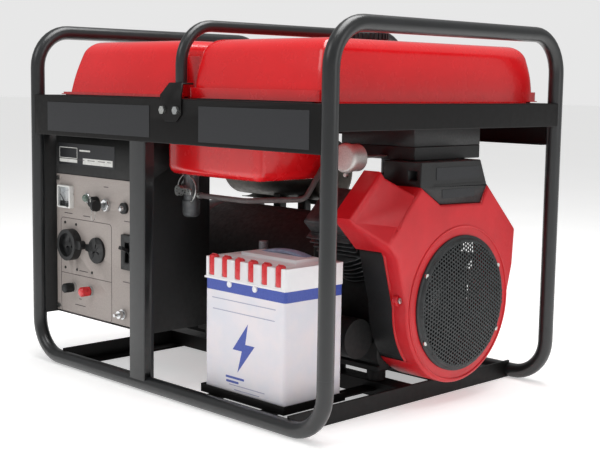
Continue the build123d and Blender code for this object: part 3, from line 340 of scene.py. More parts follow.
def softened(node, finish, slot, width=0.5, folds=None, fold_width=2.2, body=ROOT):
    """A CAD node with its edges rounded, and the folds that a test picks rounded more."""
    bm = flattened(node)
    picked = [edge for edge in sharp_edges(bm, CORNER) if folds and folds(edge)]
    if picked:
        round_off(bm, picked, fold_width, 4)
    if width:
        rest = [edge for edge in sharp_edges(bm, CORNER) if edge.calc_length() > 3 * width * MM]
        round_off(bm, rest, width, 1)
    return piece("finished_" + node, taken(bm, node, finish, 40), slot, node, body=body)


def paint(finish, *nodes):
    """Gives CAD nodes whose shape is right a better finish."""
    for node in nodes:
        mesh = NODES[node].data
        if not mesh.materials:
            mesh.materials.append(finish)
        for number in range(len(mesh.materials)):
            mesh.materials[number] = finish
        for place in NODES[node].material_slots:
            place.material = finish


# ---- materials -------------------------------------------------------------------------------
def linear(code):
    """An sRGB hex colour as linear red, green, blue and alpha."""
    parts = [int(code[i:i + 2], 16) / 255 for i in (1, 3, 5)]
    return tuple(c / 12.92 if c <= 0.04045 else ((c + 0.055) / 1.055) ** 2.4 for c in parts) + (1.0,)


def add(tree, kind, links=None, values=None, **settings):
    """One node with its settings, socket values and links."""
    node = tree.nodes.new(kind)
    for name, value in settings.items():
        setattr(node, name, value)
    for name, value in (values or {}).items():
        node.inputs[name].default_value = value
    for name, source in (links or {}).items():
        tree.links.new(source, node.inputs[name])
    return node


# The part of the noise's range over which a colour and a gloss run from one value to the other.
MIDDLE_COLOURS = (0.35, 0.65)
MIDDLE_GLOSS = (0.3, 0.7)
EVEN = (1, 1, 1)


def noise(tree, where, size_mm, detail=4.0, stretch=EVEN):
    """Noise whose grains are about size_mm across; stretch draws them out along an axis."""
    mapping = add(tree, "ShaderNodeMapping", {"Vector": where}, {"Scale": stretch})
    values = {"Scale": 1.0 / (size_mm * MM), "Detail": detail, "Roughness": 0.55}
    return add(tree, "ShaderNodeTexNoise", {"Vector": mapping.outputs["Vector"]}, values).outputs["Fac"]


# Each finish: its name, two close sRGB colours and the size of their patches, the least and most roughness
# and the size of its drift, the height and size of its grain, and how it is stretched or which other sockets
# it sets. Sizes are in millimetres.
FINISHES = {
    # Baked black enamel on tube: a satin, slightly rippled film over the bends.
    "stove_enamel": ("satin black stove enamel", "#17191A", "#1D1F21", 90, (0.3, 0.42), 8, 0.05, 3.0,
                     {"Coat Weight": 0.35, "Coat Roughness": 0.25}),
    # The same enamel on folded sheet: flatter and a little browner, and painted darker than on the tube to
    # stand for the shade on the bands' flat faces.
    "sheet_enamel": ("black enamel on sheet steel", "#070606", "#0B0909", 120, (0.42, 0.54), 10, 0.04, 2.5,
                     {"Specular IOR Level": 0.25}),
    # Deep red gloss enamel under a clear coat on pressed steel.
    "gloss_enamel": ("gloss red tank enamel", "#D80C14", "#E2141C", 150, (0.22, 0.3), 30, 0.02, 7.0,
                     {"Coat Weight": 0.5, "Coat Roughness": 0.08}),
    # Moulded red resin with a fine spark-eroded grain that breaks up the highlights.
    "moulded_red": ("grained red moulding", "#C5101C", "#D41824", 70, (0.36, 0.5), 5, 0.12, 1.1,
                    {"Coat Weight": 0.15, "Coat Roughness": 0.35}),
    # Warm grey powder coat: an even film with a fine salt-and-pepper speckle.
    "powder_grey": ("warm grey powder coat", "#A39A95", "#B0A7A2", 1.6, (0.42, 0.55), 6, 0.06, 0.9,
                    {"Specular IOR Level": 0.4}),
    # Black powder coat on folded sheet: matt with an orange-peel skin.
    "powder_black": ("black powder coat", "#070808", "#0B0C0C", 80, (0.45, 0.6), 9, 0.06, 1.8, {}),
    # Dark grey anodised label plate with a silky, very fine grain.
    "printed_plate": ("dark anodised plate", "#26272A", "#2C2D30", 1.2, (0.38, 0.5), 3, 0.02, 0.8,
                      {"Metallic": 0.2}),
    # Moulded black nylon: matt with a fine spark-eroded grain.
    "moulded_black": ("black nylon moulding", "#131415", "#191A1B", 30, (0.4, 0.55), 4, 0.06, 0.8, {}),
    # Filled black resin of the fan guard, greyer where the light catches its grain.
    "grille_resin": ("filled black resin", "#242728", "#303334", 14, (0.42, 0.58), 3, 0.08, 0.9, {}),
    # Cloudy natural polypropylene: white, waxy and lit from inside.
    "clear_polypropylene": ("natural polypropylene", "#E6E6EE", "#F1EAEE", 60, (0.3, 0.4), 9, 0.03, 2.0,
                            {"Subsurface Weight": 0.25, "Subsurface Radius": (0.004, 0.004, 0.005),
                             "Subsurface Scale": 1.0}),
    # Whiter filled polypropylene of the lid, smooth and waxy.
    "lid_polypropylene": ("white filled polypropylene", "#F4F4F7", "#FAF9FB", 50, (0.28, 0.36), 9, 0.02, 2.0,
                          {"Subsurface Weight": 0.15, "Subsurface Radius": (0.003, 0.003, 0.003),
                           "Subsurface Scale": 1.0}),
    # Screen-printed blue ink on the case: even, with a slight tooth.
    "blue_print": ("blue screen ink", "#3A4FA8", "#4459B2", 3, (0.35, 0.45), 2, 0.02, 0.7, {}),
    # Faint violet-grey ink, printed thin.
    "pale_print": ("pale violet ink", "#A3A3BE", "#B2B1C8", 3, (0.4, 0.5), 2, 0, 1, {}),
    # Dark screen ink on the powder coat, broken up by the film under it.
    "dark_print": ("dark screen ink", "#3B3537", "#5B5355", 2, (0.45, 0.6), 2, 0, 1, {}),
    # White paint in an engraved mark.
    "white_print": ("white fill paint", "#D8D8D4", "#E4E4E0", 4, (0.4, 0.5), 2, 0, 1, {}),
    # Glossy moulded red polypropylene of the vent caps.
    "moulded_cap_red": ("red polypropylene", "#D62A31", "#E03C42", 12, (0.25, 0.35), 4, 0.02, 1.5,
                        {"Subsurface Weight": 0.1, "Subsurface Radius": (0.004, 0.001, 0.001),
                         "Subsurface Scale": 1.0}),
    # Translucent red acrylic of the terminal nut.
    "insulator_red": ("red acrylic", "#D01C22", "#E2343A", 6, (0.12, 0.2), 4, 0.01, 1.0,
                      {"Coat Weight": 0.4, "Coat Roughness": 0.08}),
    # Bright zinc plate: cool grey metal with a faint bloom.
    "zinc_plate": ("bright zinc plate", "#B4B7B8", "#C6C7C2", 7, (0.22, 0.38), 3, 0.02, 0.8,
                   {"Metallic": 1.0}),
    # Polished nickel-chrome: sharp reflections, hardly any bloom.
    "chrome_plate": ("polished chrome plate", "#C9CBCD", "#D6D7D8", 20, (0.06, 0.14), 5, 0, 1,
                     {"Metallic": 1.0}),
    # Sand-cast aluminium: grey, pitted and dull, with dark patches of oil and dust.
    "cast_aluminium": ("cast aluminium", "#5A5C5E", "#727475", 18, (0.42, 0.62), 6, 0.22, 1.6,
                       {"Metallic": 0.9}),
    # Clear-lacquered die casting: a pale silvery skin with a fine sparkle.
    "die_cast_white": ("lacquered die casting", "#C2BFBC", "#D4D1CE", 2.2, (0.35, 0.55), 2, 0.08, 1.2,
                       {"Metallic": 0.7}),
    # Matt black heat paint over cast metal, dusty on the high spots.
    "heat_paint": ("black heat paint", "#0B0C0C", "#111213", 25, (0.5, 0.7), 8, 0.18, 1.8, {}),
    # Turned and ground steel with fine rings round the shaft.
    "ground_steel": ("ground steel", "#8E9092", "#A2A3A4", 3, (0.25, 0.4), 3, 0.02, 0.8,
                     {"patch_stretch": (6, 1, 1), "relief_stretch": (6, 1, 1), "Metallic": 1.0}),
    # Stacked, varnished steel laminations: brown-black with fine lines across the axis.
    "laminations": ("varnished laminations", "#4A2717", "#5E3420", 2.0, (0.35, 0.5), 6, 0.15, 1.4,
                    {"patch_stretch": (8, 1, 1), "relief_stretch": (8, 0.4, 0.4), "Metallic": 0.3}),
    # Moulded rubber: nearly black with a grey bloom.
    "black_rubber": ("black rubber", "#151515", "#202020", 15, (0.6, 0.8), 6, 0.05, 1.0, {}),
    # Braid-backed petrol hose, dulled to a brown grey.
    "hose_rubber": ("petrol hose rubber", "#4E4848", "#5C5555", 6, (0.45, 0.6), 3, 0.06, 0.9,
                    {"relief_stretch": (0.4, 1, 1)}),
    # Aluminised steel, browned by heat in soft patches.
    "muffler_steel": ("heat-toned aluminised steel", "#3A3733", "#4E4944", 45, (0.4, 0.6), 8, 0.08, 2.2,
                      {"Metallic": 0.85}),
    # Cast lead, soft grey with a white bloom.
    "dull_lead": ("cast lead", "#77797D", "#93959A", 5, (0.45, 0.65), 3, 0.1, 1.4, {"Metallic": 0.9}),
    # Glossy white thermoplastic of the instrument.
    "meter_white": ("white instrument moulding", "#EDEDEA", "#F5F5F2", 12, (0.18, 0.26), 4, 0.01, 1.5, {}),
    # Clear polystyrene window with a faint haze.
    "window": ("clear polystyrene", "#FFFFFF", "#F8FBFF", 20, (0.02, 0.06), 8, 0, 1,
               {"Transmission Weight": 1.0, "IOR": 1.49}),
    # Smoked green acrylic lens, unlit.
    "lamp_lens": ("smoked green acrylic", "#5F7168", "#73857B", 6, (0.12, 0.2), 3, 0, 1,
                  {"Coat Weight": 0.6, "Coat Roughness": 0.05}),
    # Cloudy blue-grey polyethylene of the carrying strap.
    "handle_blue": ("blue-grey polyethylene", "#7E8CA8", "#97A4BC", 14, (0.3, 0.42), 4, 0.03, 1.2,
                    {"Subsurface Weight": 0.15, "Subsurface Radius": (0.003, 0.003, 0.004),
                     "Subsurface Scale": 1.0}),
    # Pale painted studio floor with a soft, even tooth.
    "pale_floor": ("pale studio floor", "#F4F4F3", "#F8F8F7", 300, (0.5, 0.6), 60, 0.05, 3.0,
                   {"Emission Color": (1.0, 1.0, 1.0, 1.0), "Emission Strength": 0.42}),
}


def finish(key):
    """The material of a row of the table, made once: its colour, gloss and grain all drift a little."""
    name, colour, other, patch_mm, gloss, gloss_mm, relief, relief_mm, more = FINISHES[key]
    known = bpy.data.materials.get(name)
    if known:
        return known
    material = bpy.data.materials.new(name)
    material.use_nodes = True
    tree = material.node_tree
    shader = tree.nodes["Principled BSDF"]
    where = add(tree, "ShaderNodeTexCoord").outputs["Object"]
    patch = noise(tree, where, patch_mm, stretch=more.get("patch_stretch", EVEN))
    ramp = add(tree, "ShaderNodeValToRGB", {"Fac": patch})
    for element, position, code in zip(ramp.color_ramp.elements, MIDDLE_COLOURS, (colour, other)):
        element.position = position
        element.color = linear(code)
    tree.links.new(ramp.outputs["Color"], shader.inputs["Base Color"])
    sheen = add(tree, "ShaderNodeMapRange", {"Value": noise(tree, where, gloss_mm)},
                {"From Min": MIDDLE_GLOSS[0], "From Max": MIDDLE_GLOSS[1],
                 "To Min": gloss[0], "To Max": gloss[1]})
    tree.links.new(sheen.outputs["Result"], shader.inputs["Roughness"])
    if relief:
        grain = noise(tree, where, relief_mm, detail=2.0, stretch=more.get("relief_stretch", EVEN))
        bump = add(tree, "ShaderNodeBump", {"Height": grain}, {"Distance": relief * MM, "Strength": 1.0})
        tree.links.new(bump.outputs["Normal"], shader.inputs["Normal"])
    for label, value in more.items():
        if label in shader.inputs:
            shader.inputs[label].default_value = value
    return material


# ---- geometry nodes --------------------------------------------------------------------------
def new_tree(name, sizes):
    """A geometry node tree with named inputs for its sizes; returns tree, inputs and output."""
    tree = bpy.data.node_groups.new(name, "GeometryNodeTree")
    tree.interface.new_socket("Geometry", in_out="OUTPUT", socket_type="NodeSocketGeometry")
    for label, value in sizes.items():
        kind = "NodeSocketInt" if isinstance(value, int) else "NodeSocketFloat"
        socket = tree.interface.new_socket(label, in_out="INPUT", socket_type=kind)
        socket.default_value = value
    return tree, add(tree, "NodeGroupInput").outputs, add(tree, "NodeGroupOutput")


def arithmetic(tree, operation, first, second=None):
    """One step of arithmetic between sockets or numbers."""
    node = add(tree, "ShaderNodeMath", operation=operation)
    for number, value in enumerate((first, second)):
        if isinstance(value, bpy.types.NodeSocket):
            tree.links.new(value, node.inputs[number])
        elif value is not None:
            node.inputs[number].default_value = value
    return node.outputs[0]


def finish_tree(tree, output, geometry, finish):
    """Realises the copies, gives them their material and closes the tree."""
    real = add(tree, "GeometryNodeRealizeInstances", {"Geometry": geometry})
    done = add(tree, "GeometryNodeSetMaterial", {"Geometry": real.outputs[0]}, {"Material": finish})
    tree.links.new(done.outputs[0], output.inputs["Geometry"])


def grown(tree, **values):
    """Runs a tree with its inputs set and returns the plain mesh it makes, in metres."""
    host = bpy.data.objects.new("growing", bpy.data.meshes.new("growing"))
    bpy.context.scene.collection.objects.link(host)
    modifier = host.modifiers.new("grow", "NODES")
    sockets = {item.name: item.identifier for item in tree.interface.items_tree if item.in_out == "INPUT"}
    modifier.node_group = tree
    for label, value in values.items():
        modifier[sockets[label.replace("_", " ")]] = value
    evaluated = host.evaluated_get(bpy.context.evaluated_depsgraph_get())
    mesh = bpy.data.meshes.new_from_object(evaluated)
    bpy.data.objects.remove(host)
    return mesh


def perforated_tree(finish):
    """A domed sheet of staggered round holes, one hexagonal cell round each hole."""
    sizes = {"Radius": 0.103, "Pitch": 0.0066, "Hole": 0.0022, "Thick": 0.0018, "Rise": 0.008, "Count": 36}
    tree, given, output = new_tree("perforated guard", sizes)
    rows = add(tree, "FunctionNodeInputInt", integer=1).outputs[0]
    across = arithmetic(tree, "MULTIPLY", given["Pitch"], arithmetic(tree, "SUBTRACT", given["Count"], rows))
    up = arithmetic(tree, "MULTIPLY", across, sqrt(3) / 2)
    grid = add(tree, "GeometryNodeMeshGrid", {"Size X": up, "Size Y": across,
                                              "Vertices X": given["Count"], "Vertices Y": given["Count"]})
    points = add(tree, "GeometryNodeMeshToPoints", {"Mesh": grid.outputs["Mesh"]})
    row = arithmetic(tree, "FLOOR", arithmetic(tree, "DIVIDE", add(tree, "GeometryNodeInputIndex").outputs[0],
                                               given["Count"]))
    odd = arithmetic(tree, "MODULO", row, 2.0)
    shift = arithmetic(tree, "MULTIPLY", odd, arithmetic(tree, "MULTIPLY", given["Pitch"], 0.5))
    offset = add(tree, "ShaderNodeCombineXYZ", {"Y": shift})
    stagger = add(tree, "GeometryNodeSetPosition", {"Geometry": points.outputs[0],
                                                    "Offset": offset.outputs[0]})
    place = add(tree, "GeometryNodeInputPosition").outputs[0]
    reach = add(tree, "ShaderNodeVectorMath", {0: place}, operation="LENGTH").outputs["Value"]
    outside = add(tree, "FunctionNodeCompare", {0: reach, 1: given["Radius"]}, operation="GREATER_THAN")
    inside = add(tree, "GeometryNodeDeleteGeometry", {"Geometry": stagger.outputs[0],
                                                      "Selection": outside.outputs[0]})
    corner = arithmetic(tree, "DIVIDE", given["Pitch"], sqrt(3))
    hexagon = add(tree, "GeometryNodeCurvePrimitiveCircle", {"Radius": corner}, {"Resolution": 6})
    ring = add(tree, "GeometryNodeCurvePrimitiveCircle", {"Radius": given["Hole"]}, {"Resolution": 12})
    joined = add(tree, "GeometryNodeJoinGeometry")
    tree.links.new(ring.outputs[0], joined.inputs[0])
    tree.links.new(hexagon.outputs[0], joined.inputs[0])
    cell = add(tree, "GeometryNodeFillCurve", {"Curve": joined.outputs[0]})
    copies = add(tree, "GeometryNodeInstanceOnPoints", {"Points": inside.outputs[0],
                                                        "Instance": cell.outputs[0]})
    flat = add(tree, "GeometryNodeRealizeInstances", {"Geometry": copies.outputs[0]})
    whole = add(tree, "GeometryNodeMergeByDistance", {"Geometry": flat.outputs[0]}, {"Distance": 0.0001})
    thick = add(tree, "GeometryNodeExtrudeMesh", {"Mesh": whole.outputs[0], "Offset Scale": given["Thick"]},
                {"Individual": False})
    back = add(tree, "GeometryNodeFlipFaces", {"Mesh": whole.outputs[0]})
    both = add(tree, "GeometryNodeJoinGeometry")
    tree.links.new(thick.outputs["Mesh"], both.inputs[0])
    tree.links.new(back.outputs[0], both.inputs[0])
    closed = add(tree, "GeometryNodeMergeByDistance", {"Geometry": both.outputs[0]}, {"Distance": 0.00005})
    share = arithmetic(tree, "DIVIDE", reach, given["Radius"])
    fall = arithmetic(tree, "SUBTRACT", 1.0, arithmetic(tree, "MULTIPLY", share, share))
    rise = add(tree, "ShaderNodeCombineXYZ", {"Z": arithmetic(tree, "MULTIPLY", fall, given["Rise"])})
    domed = add(tree, "GeometryNodeSetPosition", {"Geometry": closed.outputs[0], "Offset": rise.outputs[0]})
    finish_tree(tree, output, domed.outputs[0], finish)
    return tree


def ridge_tree(finish):
    """Small bars stood round a circle, as on a knurled nut or a cap's grip."""
    sizes = {"Count": 24, "Radius": 0.009, "Length": 0.012, "Width": 0.0012, "Depth": 0.001, "Lift": 0.0}
    tree, given, output = new_tree("ring of ridges", sizes)
    circle = add(tree, "GeometryNodeMeshCircle", {"Vertices": given["Count"], "Radius": given["Radius"]})
    size = add(tree, "ShaderNodeCombineXYZ", {"X": given["Depth"], "Y": given["Width"], "Z": given["Length"]})
    bar = add(tree, "GeometryNodeMeshCube", {"Size": size.outputs[0]})
    place = add(tree, "GeometryNodeInputPosition").outputs[0]
    turn = add(tree, "FunctionNodeAlignRotationToVector", {"Vector": place}, axis="X")
    copies = add(tree, "GeometryNodeInstanceOnPoints",
                 {"Points": circle.outputs[0], "Instance": bar.outputs[0], "Rotation": turn.outputs[0]})
    up = add(tree, "ShaderNodeCombineXYZ", {"Z": given["Lift"]})
    real = add(tree, "GeometryNodeRealizeInstances", {"Geometry": copies.outputs[0]})
    raised = add(tree, "GeometryNodeSetPosition", {"Geometry": real.outputs[0], "Offset": up.outputs[0]})
    finish_tree(tree, output, raised.outputs[0], finish)
    return tree


def ridges(shape, finish, at, count, radius, length, width, depth, lift):
    """Adds a ring of ridges to a shape; sizes in millimetres, at as for lathe."""
    tree = bpy.data.node_groups.get("ring of ridges") or ridge_tree(finish)
    mesh = grown(tree, Count=count, Radius=radius * MM, Length=length * MM, Width=width * MM,
                 Depth=depth * MM, Lift=lift * MM)
    metres = Matrix.Scale(MM, 4) @ at @ Matrix.Scale(1 / MM, 4)
    mesh.transform(metres)
    shape.copy_of(mesh)
    return shape


# ---- sizes a user would change ---------------------------------------------------------------
def size(name, what, default, **limits):
    """A length in millimetres on a panel."""
    return bpy.props.FloatProperty(name=name, description=what + ", mm", default=default, **limits)


def power(name, what, default):
    """A light's power on a panel."""
    return bpy.props.FloatProperty(name=name, description="Power of " + what, default=default,
                                   subtype="POWER", unit="POWER")


class FrameSizes(bpy.types.PropertyGroup):
    bend: size("Tube bend", "Radius of the frame tube's bends", 66.0, min=30.0)
    hoop_bend: size("Hoop bend", "Radius of the lifting hoop's bends", 62.0, min=20.0)
    fold: size("Sheet fold", "Outer radius of the folded sheet", 2.2, min=0.5)
    end_chamfer: size("Tube end chamfer", "Weld groove at a tube's end", 0.12, min=0.0)


class TankSizes(bpy.types.PropertyGroup):
    corner: size("Corner", "Radius of the upright edges", 15.0)
    lean_left: size("Left slope", "How far the left end leans in", 30.0)
    lean_side: size("Side slope", "How far the sides lean in", 16.0)
    round_top: size("Top rounding", "Radius over the top edges", 24.0)
    groove: size("Groove", "Width of the groove for the hoop", 34.0)
    skirt: size("Skirt", "Height of the step under the right dome", 15.0)
    ledge: size("Ledge", "Width of the rim round the domes", 8.0)


class GrilleSizes(bpy.types.PropertyGroup):
    pitch: size("Hole pitch", "Distance between holes", 6.6, min=3.0)
    hole: size("Hole radius", "Radius of one hole", 2.3, min=0.5)
    rise: size("Dome", "Height of the guard's dome", 7.0, min=0.0)
    rim: size("Rim width", "Width of the plain rim", 10.0, min=2.0)


class LightSizes(bpy.types.PropertyGroup):
    key: power("Key light", "the large soft light", 15.0)
    top: power("Top light", "the overhead light", 62.0)
    fill: power("Fill light", "the side light", 9.0)
    world: bpy.props.FloatProperty(name="Surround", description="Strength of the pale surround",
                                   default=0.36, min=0.0)


# ---- stage -----------------------------------------------------------------------------------
CAMERA_PLACE = Vector((1.5366, -1.4747, 0.5233))
CAMERA_TURN = radians(45.4846)
CAMERA_TILT = radians(6.8132)
CAMERA_ROLL = radians(0.888)
CAMERA_LENS = 70.955
SENSOR = 36.0
FLOOR_HALF = 30.0
# The soft lights: size and place of each in metres; all look at one point.
LIGHTS = {"key": ((1.6, 1.2), (-0.6, -2.6, 2.2)), "top": ((2.2, 1.4), (0.2, 0.1, 2.6)),
          "fill": ((1.0, 1.6), (2.8, 0.6, 1.2))}
LIT_POINT = (0, 0, 0.3)
WHITE = "#FFFFFF"
# How bright the surround looks to the camera, whatever light it gives.
SEEN_SURROUND = 0.8


def soft_light(name, energy):
    """One of the rectangular lights, aimed at the lit point."""
    extent, place = LIGHTS[name]
    light = bpy.data.lights.new(name, "AREA")
    light.energy = energy
    light.shape = "RECTANGLE"
    light.size, light.size_y = extent
    thing = bpy.data.objects.new(name, light)
    thing.location = place
    thing.rotation_euler = (Vector(LIT_POINT) - Vector(place)).to_track_quat("-Z", "Y").to_euler()
    bpy.context.scene.collection.objects.link(thing)


class GENSET_OT_stage(bpy.types.Operator):
    """Floor, surround, soft lights and camera"""
    bl_idname = "genset.stage"
    bl_label = "Stage"

    def execute(self, context):
        sizes = context.scene.genset_light
        floor = Shape(finish("pale_floor"))
        reach = FLOOR_HALF / MM
        floor.block((-reach, -reach, -20), (reach, reach, 0))
        thing = bpy.data.objects.new("studio_floor", floor.mesh("studio_floor"))
        context.scene.collection.objects.link(thing)
        world = bpy.data.worlds.new("pale surround")
        world.use_nodes = True
        tree = world.node_tree
        soft = tree.nodes["Background"]
        soft.inputs["Color"].default_value = linear(WHITE)
        soft.inputs["Strength"].default_value = sizes.world
        seen = add(tree, "ShaderNodeBackground", values={"Color": linear(WHITE), "Strength": SEEN_SURROUND})
        ray = add(tree, "ShaderNodeLightPath")
        mix = add(tree, "ShaderNodeMixShader", {0: ray.outputs["Is Camera Ray"], 1: soft.outputs[0],
                                                2: seen.outputs[0]})
        tree.links.new(mix.outputs[0], tree.nodes["World Output"].inputs["Surface"])
        context.scene.world = world
        context.scene.view_settings.view_transform = "Standard"
        for name in LIGHTS:
            soft_light(name, getattr(sizes, name))
        self.camera(context)
        return {"FINISHED"}

    def camera(self, context):
        data = bpy.data.cameras.new("camera")
        data.lens = CAMERA_LENS
        data.sensor_width = SENSOR
        camera = bpy.data.objects.new("camera", data)
        back = Vector((sin(CAMERA_TURN) * cos(CAMERA_TILT), -cos(CAMERA_TURN) * cos(CAMERA_TILT),
                       sin(CAMERA_TILT)))
        right = (-back).cross(Vector(UP)).normalized()
        up = back.cross(right)
        side = right * cos(CAMERA_ROLL) + up * sin(CAMERA_ROLL)
        top = up * cos(CAMERA_ROLL) - right * sin(CAMERA_ROLL)
        turn = Matrix((side, top, back)).transposed().to_4x4()
        camera.matrix_world = Matrix.Translation(CAMERA_PLACE) @ turn
        context.scene.collection.objects.link(camera)
        context.scene.camera = camera


# ---- frame -----------------------------------------------------------------------------------
def outer_fold(node, axis):
    """A test for the long edges on the outer face of a folded sheet."""
    low, high = box_mm(node)

    def test(edge):
        places = [vert.co[axis] / MM for vert in edge.verts]
        outside = all(min(place - low[axis], high[axis] - place) < 0.1 for place in places)
        along = edge.verts[0].co - edge.verts[1].co
        return outside and edge.calc_length() > 30 * MM and abs(along.z) < 1 * MM
    return test


class GENSET_OT_frame(bpy.types.Operator):
    """Bent tubes, folded bands, cross members, lifting hoop and its brackets"""
    bl_idname = "genset.frame"
    bl_label = "Frame"

    def execute(self, context):
        sizes = context.scene.genset_frame
        self.tubes(sizes)
        # The bands, cross members and brackets take the sheet enamel, whose darker colour is painted shade.
        enamel = finish("sheet_enamel")
        for node, axis in (("side_bands", 1), ("end_bands", 0)):
            softened(node, enamel, "frame_black", folds=outer_fold(node, axis), fold_width=sizes.fold)
        face = box_mm("mid_post")[0].y
        softened("mid_post", finish("stove_enamel"), "frame_black", width=0.0, fold_width=sizes.fold,
                 folds=lambda edge: edge.calc_length() > 300 * MM and edge.verts[0].co.y / MM < face + 1)
        softened("base_members", enamel, "frame_black", width=0.6)
        softened("hoop_brackets", enamel, "frame_black", width=0.6)
        softened("name_plates", finish("printed_plate"), "plate_grey", width=0.2)
        paint(finish("zinc_plate"), "fasteners")
        return {"FINISHED"}

    def tubes(self, sizes):
        low, high = box_mm("end_hoops")
        first = solid_boxes("end_hoops")[0]
        radius = (first[1].x - first[0].x) / 2
        x, y = high.x - radius, high.y - radius
        weld, top = low.z, high.z - radius
        hoops = Shape(finish("stove_enamel"))
        rails = Shape(finish("stove_enamel"))
        for side in (-1, 1):
            hoop = [(side * x, end * y, z) for end, z in ((-1, weld), (-1, top), (1, top), (1, weld))]
            rail = [(end * x, side * y, z) for end, z in ((-1, weld), (-1, radius), (1, radius), (1, weld))]
            for shape, points in ((hoops, hoop), (rails, rail)):
                shape.sweep(bent(points, sizes.bend), radius, 32, chamfer=sizes.end_chamfer)
        hoops.place("end_hoop_tubes", "frame_black", "end_hoops")
        rails.place("bottom_rail_tubes", "frame_black", "bottom_rails")
        low, high = box_mm("lifting_hoop")
        radius = (high.x - low.x) / 2
        y = high.y - radius
        points = [(middle("lifting_hoop").x, side * y, z) for side, z in
                  ((-1, low.z), (-1, high.z - radius), (1, high.z - radius), (1, low.z))]
        hoop = Shape(finish("stove_enamel"))
        hoop.sweep(bent(points, sizes.hoop_bend), radius, 28, chamfer=sizes.end_chamfer)
        hoop.place("lifting_hoop_tube", "frame_black", "lifting_hoop")


# ---- tank ------------------------------------------------------------------------------------
def pressed_dome(shape, left, right, half, low, high, leans, sizes, bulge=1.5):
    """A tapered pressing with rounded upper edges, its walls swelling a little and its top crowned."""
    levels, arc = 9, 8
    crown, tip = 1.5, 4
    lean_left, lean_right = leans
    top_round, upright, lean_side = sizes.round_top, sizes.corner, sizes.lean_side
    wall_top = high - crown - top_round
    rings = []

    def ring(z, draw, corner):
        rise = min(1.0, (z - low) / (high - low))
        x0 = left + lean_left * rise + draw
        x1 = right - lean_right * rise - draw
        y1 = half - lean_side * rise - draw
        outline = rounded(x1 - x0, 2 * y1, corner, 8, ((x0 + x1) / 2, 0))
        rings.append([(x, y, z) for x, y in outline])

    for level in range(levels):
        share = level / (levels - 1)
        ring(low + (wall_top - low) * share, -bulge * sin(pi * share), upright)
    for step in range(1, arc + 1):
        angle = pi / 2 * step / arc
        draw = top_round * (1 - cos(angle))
        ring(wall_top + top_round * sin(angle), draw, upright - draw * (upright - tip) / top_round)
    x0 = left + lean_left + top_round
    x1 = right - lean_right - top_round
    y1 = half - lean_side - top_round
    for shrink, lift in ((0.75, 0.45), (0.4, 0.85), (0.15, 1.0)):
        outline = rounded((x1 - x0) * shrink, 2 * y1 * shrink, tip * shrink, 8, ((x0 + x1) / 2, 0))
        rings.append([(x, y, high - crown + crown * lift) for x, y in outline])
    shape.skin(rings)


class GENSET_OT_tank(bpy.types.Operator):
    """Two-domed pressed tank with its rim, skirt, sump, filler and cap"""
    bl_idname = "genset.tank"
    bl_label = "Tank"

    def execute(self, context):
        sizes = context.scene.genset_tank
        low, high = box_mm("tank_upper_shell")
        hoop = middle("lifting_hoop").x
        half = high.y - sizes.ledge
        flange_thick, rim_corner = 3.0, 9
        lean_in, lean_right = 6, 8
        bridge_inset, bridge_past, bridge_drop = 22, 30, 4
        seam = low.z
        groove = [hoop - sizes.groove / 2, hoop + sizes.groove / 2]
        tank = Shape(finish("gloss_enamel"))
        leans = (sizes.lean_left, lean_in)
        pressed_dome(tank, low.x + sizes.ledge, groove[0], half, seam, high.z, leans, sizes)
        leans = (lean_in, lean_right)
        pressed_dome(tank, groove[1], high.x, half, seam + sizes.skirt - 1, high.z, leans, sizes)
        skirt = rounded(high.x - groove[1], 2 * high.y, rim_corner, 6, ((high.x + groove[1]) / 2, 0))
        tank.slab(skirt, seam, seam + sizes.skirt, bevel=2.4, segments=3)
        flange = rounded(groove[0] - low.x, 2 * high.y, rim_corner, 6, ((groove[0] + low.x) / 2, 0))
        tank.slab(flange, seam, seam + flange_thick, bevel=0.9, segments=3)
        bridge = rounded(sizes.groove + 2 * bridge_past, 2 * (half - bridge_inset), 8, 4, (hoop, 0))
        tank.slab(bridge, seam, high.z - sizes.round_top - bridge_drop, bevel=5, segments=3)
        tank.place("tank_dome_pressing", "tank_red", "tank_upper_shell", smooth=40)
        softened("tank_lower_shell", finish("gloss_enamel"), "tank_red", width=0.0)
        paint(finish("black_rubber"), "rubber_mounts")
        softened("filler_neck", finish("zinc_plate"), "zinc", width=0.3)
        self.cap()
        return {"FINISHED"}

    def cap(self):
        low, high = box_mm("fuel_cap")
        axis = middle("fuel_cap")
        seat = high.z - 12
        radius = (high.x - low.x) / 2
        at = facing((axis.x, axis.y, seat), UP)
        cap = Shape(finish("moulded_black"))
        inner = 23.5
        profile = [(0, low.z - seat), (inner, low.z - seat), (inner, 0), (radius - 3.4, 0), (radius - 2.6, 1),
                   (radius - 2.6, 9), (radius - 4, 11), (radius - 7, 11.6), (radius - 12, 11.6),
                   (radius - 14, 10.4), (10, 10.4), (0, 10.8)]
        cap.lathe(profile, at, 64)
        ridges(cap, finish("moulded_black"), at, 28, radius - 2.4, 9.5, 4.2, 3.6, 5.4)
        cap.place("fuel_cap_moulding", "black_plastic", "fuel_cap", body="fuel_cap")


